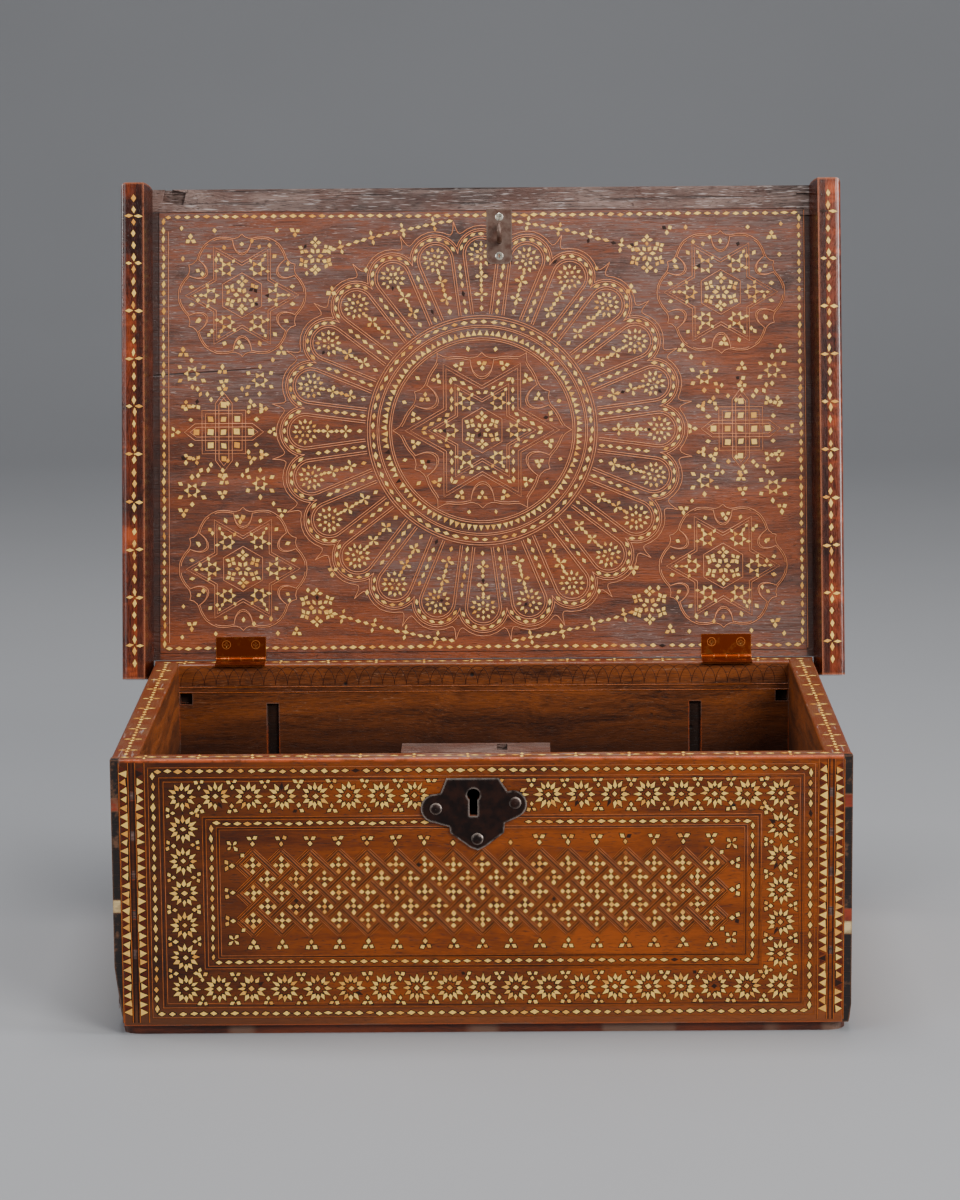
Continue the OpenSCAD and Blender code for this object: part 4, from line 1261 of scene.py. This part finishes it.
def stamp_chips(chips, face, name, material, slot, scale, grow, proud=None):
    """Stamps every chip of one wood into one mesh, each with its own tone.

    The same seed each time gives the mastic around a chip the chip's own turn and place.
    """
    inlay = bpy.context.scene.box_inlay
    proud = proud or inlay.proud / MM
    uneven = inlay.unevenness
    rng = random.Random(inlay.seed)
    bm = bmesh.new()
    tones = []
    matrix = np.array(face.matrix, np.float64)
    for _, shape, x, y, angle, length, width in chips:
        mesh, points = shape_of(shape)
        turn = math.radians(angle + rng.gauss(0, 40 * uneven))
        cos, sin = math.cos(turn), math.sin(turn)
        size = np.array([length * (1 + rng.gauss(0, uneven)) + END_GROWTH * grow,
                         width * (1 + rng.gauss(0, uneven)) + grow,
                         CHIP_SUNK + proud * rng.uniform(0.6, 1.2)])
        local = points * size
        local[:, 2] -= CHIP_SUNK
        px = (x + rng.gauss(0, 2 * uneven)) * scale
        py = (y + rng.gauss(0, 2 * uneven)) * scale
        flat = np.stack([local[:, 0] * cos - local[:, 1] * sin + px,
                         local[:, 0] * sin + local[:, 1] * cos + py,
                         local[:, 2], np.ones(len(local))])
        placed = (matrix @ flat)[:3].T.astype(np.float32)
        mesh.vertices.foreach_set("co", placed.ravel())
        bm.from_mesh(mesh)
        tones += [rng.random() ** 2.4] * len(local)
    mesh = bpy.data.meshes.new(name)
    bm.to_mesh(mesh)
    bm.free()
    mesh.attributes.new("tone", "FLOAT", "POINT").data.foreach_set("value", tones)
    return finish_piece(mesh, name, material, face.body)


def string_lines(lines, face, name, material, scale, width, lift):
    """Lays lines as flat strings, let into the face. Width counts in stringing widths."""
    inlay = bpy.context.scene.box_inlay
    curve = bpy.data.curves.new(name, "CURVE")
    curve.dimensions = "3D"
    curve.bevel_depth = width * inlay.line_width / MM / 2
    curve.bevel_resolution = 0
    curve.use_fill_caps = True
    for _, points, closed in lines:
        spline = curve.splines.new("POLY")
        spline.points.add(len(points) - 1)
        for target, (x, y) in zip(spline.points, points):
            target.co = (x * scale, y * scale, 0, 1)
        spline.use_cyclic_u = closed
    holder = bpy.data.objects.new(name + "_path", curve)
    bpy.context.scene.collection.objects.link(holder)
    bpy.context.view_layer.update()
    mesh = bpy.data.meshes.new_from_object(holder.evaluated_get(
        bpy.context.evaluated_depsgraph_get()))
    bpy.data.objects.remove(holder)
    bpy.data.curves.remove(curve)
    mesh.transform(Matrix.Diagonal((1, 1, lift, 1)))
    mesh.transform(face.matrix)
    mesh.name = name
    return finish_piece(mesh, name, material, face.body)


MATERIALS = {}


def material_for(name, maker, *details):
    """Makes each material once."""
    if name not in MATERIALS:
        MATERIALS[name] = maker(*details)
    return MATERIALS[name]


def inlay_wood(name, *details):
    """The flat material of one kind of chip or string."""
    return material_for(name, chip_wood, name, *details)


def lay_chips(pattern, face, name, scale, bed):
    """Bone and red wood chips, dark pits where chips are lost, and mastic around the bone."""
    inlay = bpy.context.scene.box_inlay
    rng = random.Random(f"{name} {inlay.seed}")
    kinds = {"bone": [], "red": [], "pit": []}
    for chip in pattern.chips:
        lost = rng.random() < inlay.missing
        kinds["pit" if lost else chip[0]].append(chip)
    finishes = {
        "bone": (material_for("bone", bone_material), "bone"),
        "red": (inlay_wood("red_chip"), "red_wood"),
        "pit": (inlay_wood("pit"), "ebony"),
    }
    grow = 0.35 if face.body == "lid" else 0.0
    for wood, chips in kinds.items():
        if chips:
            stamp_chips(chips, face, f"{name}_{wood}_chips", *finishes[wood], scale, grow)
    if bed and kinds["bone"]:
        stamp_chips(kinds["bone"], face, f"{name}_mastic", inlay_wood("mastic"), "ebony", scale,
                    grow + bed, MASTIC_PROUD)


def lay_strings(pattern, face, name, scale):
    """Stringing in each wood, with a painted brown shadow beside the pale strings."""
    pale = inlay_wood("line_lid", 0.6) if face.body == "lid" else inlay_wood("line_pale")
    finishes = {
        "pale": (pale, "red_wood", 1.0, STRING_LIFT),
        "dark": (inlay_wood("line_dark"), "ebony", 1.0, STRING_LIFT),
        "strap": (inlay_wood("strap"), "walnut", 4.6, 0.05),
        "cut": (inlay_wood("line_cut"), "walnut", 0.6, STRING_LIFT),
    }
    for wood, (material, slot, width, lift) in finishes.items():
        lines = [line for line in pattern.lines if line[0] == wood]
        if lines:
            string_lines(lines, face, f"{name}_{wood}_lines", material, scale, width, lift)
        # A wider, flatter dark string under each pale one: painted shadow beside it.
        if lines and wood == "pale":
            string_lines(lines, face, f"{name}_line_bed", inlay_wood("line_bed"), scale,
                         1.6, 0.09)


def lay_inlay(pattern, face, name, scale=1.0, bed=0.0):
    """Turns a pattern into pieces. Bed is the width of the mastic around each chip, in mm."""
    lay_chips(pattern, face, name, scale, bed)
    lay_strings(pattern, face, name, scale)


# ---------------------------------------------------------------- operators


class BOXINLAY_OT_cad_finishes(bpy.types.Operator):
    """Give every part of the box its finish"""
    bl_idname = "boxinlay.cad_finishes"
    bl_label = "Finish Parts"

    def execute(self, context):
        metals = context.scene.box_metals
        hinges = ["hinge_screws_box", "hinge_screws_lid"]
        for side in ("left", "right"):
            hinges += [f"hinge_leaf_box_{side}", f"hinge_leaf_lid_{side}", f"hinge_pin_{side}"]
        finishes = (
            (casket_wood("casket_wood_x", True), ["front_board", "back_board"]),
            (casket_wood("casket_wood_y", False), ["side_board_left", "side_board_right"]),
            (bottom_wood(), ["bottom_board"]),
            (raw_wood("raw_wood_box", False, 0.95),
             ["lock_block", "corner_pegs_front", "corner_pegs_back"]),
            (raw_wood("raw_wood_lid", True, 0.6), ["lid_front_strip", "lid_corner_patch"]),
            (lid_wood(), ["lid_panel"]),
            (batten_wood(), ["batten_left", "batten_right", "batten_pegs"]),
            (block_wood("ebony_blocks", "block_black", 0.4), ["edge_blocks_black"]),
            (block_wood("red_blocks", "block_red", 0.3), ["edge_blocks_red"]),
            (block_wood("bone_blocks", "block_bone", 0.35), ["edge_blocks_bone"]),
            (iron_material("iron", metals.iron, metals.rust, 0.9),
             ["escutcheon", "escutcheon_studs", "bottom_nails", "lock_block_nails",
              "lock_plate", "bolt_guides", "lock_spring", "lock_bolt"]),
            (iron_material("plate_iron", metals.plate, metals.plate_rust, 0.2),
             ["staple_plate", "staple"]),
            (brass_material(), hinges),
            (nickel_material(), ["staple_screws"]),
        )
        left = set(NODES)
        for material, nodes in finishes:
            for node in nodes:
                NODES[node].data.materials.clear()
                NODES[node].data.materials.append(material)
            left -= set(nodes)
        if left:
            raise RuntimeError(f"no finish for {sorted(left)}")
        return {"FINISHED"}


class BOXINLAY_OT_walls(bpy.types.Operator):
    """Inlay the outer faces of the four walls"""
    bl_idname = "boxinlay.walls"
    bl_label = "Inlay Walls"

    def execute(self, context):
        low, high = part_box("escutcheon")
        for side, face in wall_faces().items():
            pattern = wall_pattern(face.width, face.height, teeth=side == "front")
            if side == "front":
                flat = face.matrix.inverted()
                low, high = flat @ low, flat @ high
                edge, foot = 4, 8
                pattern.clear(low.x + edge, low.y + foot, high.x - edge, high.y - edge)
            lay_inlay(pattern, face, side, bed=1.3)
        return {"FINISHED"}


class BOXINLAY_OT_rims(bpy.types.Operator):
    """Inlay the tops of the walls and cut the band inside the back board"""
    bl_idname = "boxinlay.rims"
    bl_label = "Inlay Rims"

    def execute(self, context):
        for side in ("front", "back", "left", "right"):
            crosswise_board = side in ("left", "right")
            low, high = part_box(f"side_board_{side}" if crosswise_board else f"{side}_board")
            along, across = ((0, 1, 0), (-1, 0, 0)) if crosswise_board else ((1, 0, 0), (0, 1, 0))
            length = high.y - low.y if crosswise_board else high.x - low.x
            centre = ((low.x + high.x) / 2, (low.y + high.y) / 2, RIM_Z)
            face = Face(centre, along, across, length, 0, "box")
            lay_inlay(garland_strip(face.width), face, f"rim_{side}", bed=0.4)
        arcs_down = 15.0 * MM
        inner_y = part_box("back_board")[0].y
        inner_width = -2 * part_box("side_board_left")[1].x
        inner = Face((0, inner_y, RIM_Z - arcs_down), (1, 0, 0), (0, 0, 1), inner_width, 0, "box")
        lay_inlay(incised_arcs(inner.width), inner, "band_inside")
        return {"FINISHED"}


class BOXINLAY_OT_lid(bpy.types.Operator):
    """Inlay the inner face of the lid"""
    bl_idname = "boxinlay.lid"
    bl_label = "Inlay Lid"

    def execute(self, context):
        low, high = closed_box("lid_panel")
        wide, deep = high.x - low.x, high.y - low.y
        hinge_to_medallion = 160.6 * MM
        inner_z = closed_box("lid_front_strip")[0].z
        centre = (0, HINGE_POINT.y - hinge_to_medallion, inner_z)
        face = Face(centre, (1, 0, 0), (0, -1, 0), wide, deep, "lid", opened())
        lay_inlay(lid_pattern(), face, "lid_inner", scale=1.0145, bed=0.3)
        centre = (0, (low.y + high.y) / 2, high.z)
        face = Face(centre, (1, 0, 0), (0, 1, 0), wide, deep, "lid", opened())
        lay_inlay(wall_pattern(face.width, face.height, teeth=False), face, "lid_top", bed=0)
        return {"FINISHED"}


class BOXINLAY_OT_battens(bpy.types.Operator):
    """Inlay the faces of the battens"""
    bl_idname = "boxinlay.battens"
    bl_label = "Inlay Battens"

    def execute(self, context):
        row_from_middle = 242.8 * MM
        for side in ("left", "right"):
            low, high = closed_box(f"batten_{side}")
            centre = (math.copysign(row_from_middle, high.x), (low.y + high.y) / 2, low.z)
            face = Face(centre, (0, -1, 0), (-1, 0, 0), high.y - low.y, 0, "lid", opened())
            lay_inlay(garland_strip(face.width), face, f"batten_{side}_face", bed=0.5)
        return {"FINISHED"}


def camera_matrix(stage):
    """Where the camera stands: in front of the rim's middle, looking slightly down."""
    rim = Vector((0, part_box("front_board")[0].y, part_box("front_board")[1].z))
    cos, sin = math.cos(stage.pitch), math.sin(stage.pitch)
    forward = Vector((0, cos, -sin))
    up = Vector((0, sin, cos))
    right = Vector((1, 0, 0))
    eye = -forward * stage.distance + up * stage.rise
    turn = Matrix.Rotation(-stage.turn, 4, "Z")
    roll = Matrix.Rotation(-stage.roll, 4, "Z")
    axes = Matrix((right, up, -forward)).transposed().to_4x4()
    return Matrix.Translation(rim) @ turn @ Matrix.Translation(eye) @ axes @ roll


class BOXINLAY_OT_stage(bpy.types.Operator):
    """Set up the floor, the lights and the camera"""
    bl_idname = "boxinlay.stage"
    bl_label = "Set Stage"

    def execute(self, context):
        stage = context.scene.box_stage
        self.add_floor(context, stage)
        self.add_lights(context)
        camera = bpy.data.cameras.new("camera")
        camera.lens = stage.lens
        camera.sensor_fit = "VERTICAL"
        camera.sensor_height = 36
        camera.clip_end = 50
        holder = bpy.data.objects.new("camera", camera)
        holder.matrix_world = camera_matrix(stage)
        context.scene.collection.objects.link(holder)
        context.scene.camera = holder
        world = bpy.data.worlds.new("studio")
        world.use_nodes = True
        background = world.node_tree.nodes["Background"]
        background.inputs["Color"].default_value = (0.9, 0.93, 1.0, 1)
        background.inputs["Strength"].default_value = 0.22
        context.scene.world = world
        return {"FINISHED"}

    def add_floor(self, context, stage):
        """A floor that curves up into a backdrop."""
        bm = bmesh.new()
        reach, rise, radius = 4.0, 3.5, 1.5
        bottom = CAD_BOX[0].z
        path = [(-reach, bottom), (reach - radius, bottom)]
        path += [(reach - radius + radius * math.sin(a), bottom + radius - radius * math.cos(a))
                 for a in (math.radians(9 * i) for i in range(1, 11))]
        path += [(reach, rise)]
        verts = [bm.verts.new((-2 * reach, y, z)) for y, z in path]
        edges = [bm.edges.new(pair) for pair in zip(verts, verts[1:])]
        grown = bmesh.ops.extrude_edge_only(bm, edges=edges)["geom"]
        moved = [e for e in grown if isinstance(e, bmesh.types.BMVert)]
        bmesh.ops.translate(bm, vec=(4 * reach, 0, 0), verts=moved)
        bmesh.ops.recalc_face_normals(bm, faces=bm.faces)
        mesh = bpy.data.meshes.new("floor")
        bm.to_mesh(mesh)
        bm.free()
        mesh.shade_smooth()
        g = new_material("floor")
        cloud = g.noise(object_coordinates(g), 3.0, 2.0)
        tone = g.mix(cloud, stage.floor, [c * 0.94 for c in stage.floor])
        mesh.materials.append(g.dress(tone, 0.6))
        floor = bpy.data.objects.new("floor", mesh)
        context.scene.collection.objects.link(floor)

    def add_lights(self, context):
        """A key from the upper right, a weak fill, a lamp overhead and one low at each side."""
        target = Vector((0, 0, 0.25))
        lights = (
            ("key", (1.5, -2.2, 2.0), 1.2, 61, (1.0, 0.97, 0.93)),
            ("fill", (-2.2, -1.8, 1.4), 1.6, 20, (0.96, 0.98, 1.0)),
            ("top", (0.0, 0.1, 2.4), 1.0, 38, (1.0, 1.0, 1.0)),
            ("side_left", (-2.0, 0.5, 0.9), 0.7, 12, (1.0, 1.0, 1.0)),
            ("side_right", (2.1, -0.5, 0.8), 0.7, 30, (1.0, 1.0, 1.0)),
        )
        for name, place, size, power, colour in lights:
            light = bpy.data.lights.new(name, "AREA")
            light.shape = "SQUARE"
            light.size = size
            light.energy = power
            light.color = colour
            holder = bpy.data.objects.new(name, light)
            holder.location = place
            aim = target - Vector(place)
            holder.rotation_euler = aim.to_track_quat("-Z", "Y").to_euler()
            context.scene.collection.objects.link(holder)


class BOXINLAY_PT_panel(bpy.types.Panel):
    """Steps that dress the box, in order"""
    bl_label = "Inlaid Box"
    bl_idname = "BOXINLAY_PT_panel"
    bl_space_type = "VIEW_3D"
    bl_region_type = "UI"
    bl_category = "Inlaid Box"

    def draw(self, context):
        column = self.layout.column()
        for step in OPERATORS:
            column.operator(step.bl_idname)
        for name, group in GROUPS_OF_PROPERTIES.items():
            box = self.layout.box()
            holder = getattr(context.scene, name)
            for key in group.__annotations__:
                box.prop(holder, key)


OPERATORS = (
    BOXINLAY_OT_cad_finishes,
    BOXINLAY_OT_walls,
    BOXINLAY_OT_rims,
    BOXINLAY_OT_lid,
    BOXINLAY_OT_battens,
    BOXINLAY_OT_stage,
)
GROUPS_OF_PROPERTIES = {
    "box_woods": BOXINLAY_PG_woods,
    "box_inlay": BOXINLAY_PG_inlay,
    "box_metals": BOXINLAY_PG_metals,
    "box_stage": BOXINLAY_PG_stage,
}


def register():
    for group in GROUPS_OF_PROPERTIES.values():
        bpy.utils.register_class(group)
    for name, group in GROUPS_OF_PROPERTIES.items():
        setattr(bpy.types.Scene, name, PointerProperty(type=group))
    for step in OPERATORS:
        bpy.utils.register_class(step)
    bpy.utils.register_class(BOXINLAY_PT_panel)


def unregister():
    bpy.utils.unregister_class(BOXINLAY_PT_panel)
    for step in reversed(OPERATORS):
        bpy.utils.unregister_class(step)
    for name in GROUPS_OF_PROPERTIES:
        delattr(bpy.types.Scene, name)
    for group in GROUPS_OF_PROPERTIES.values():
        bpy.utils.unregister_class(group)


def main():
    register()
    for step in OPERATORS:
        area, name = step.bl_idname.split(".")
        getattr(getattr(bpy.ops, area), name)()


if __name__ == "__main__":
    main()
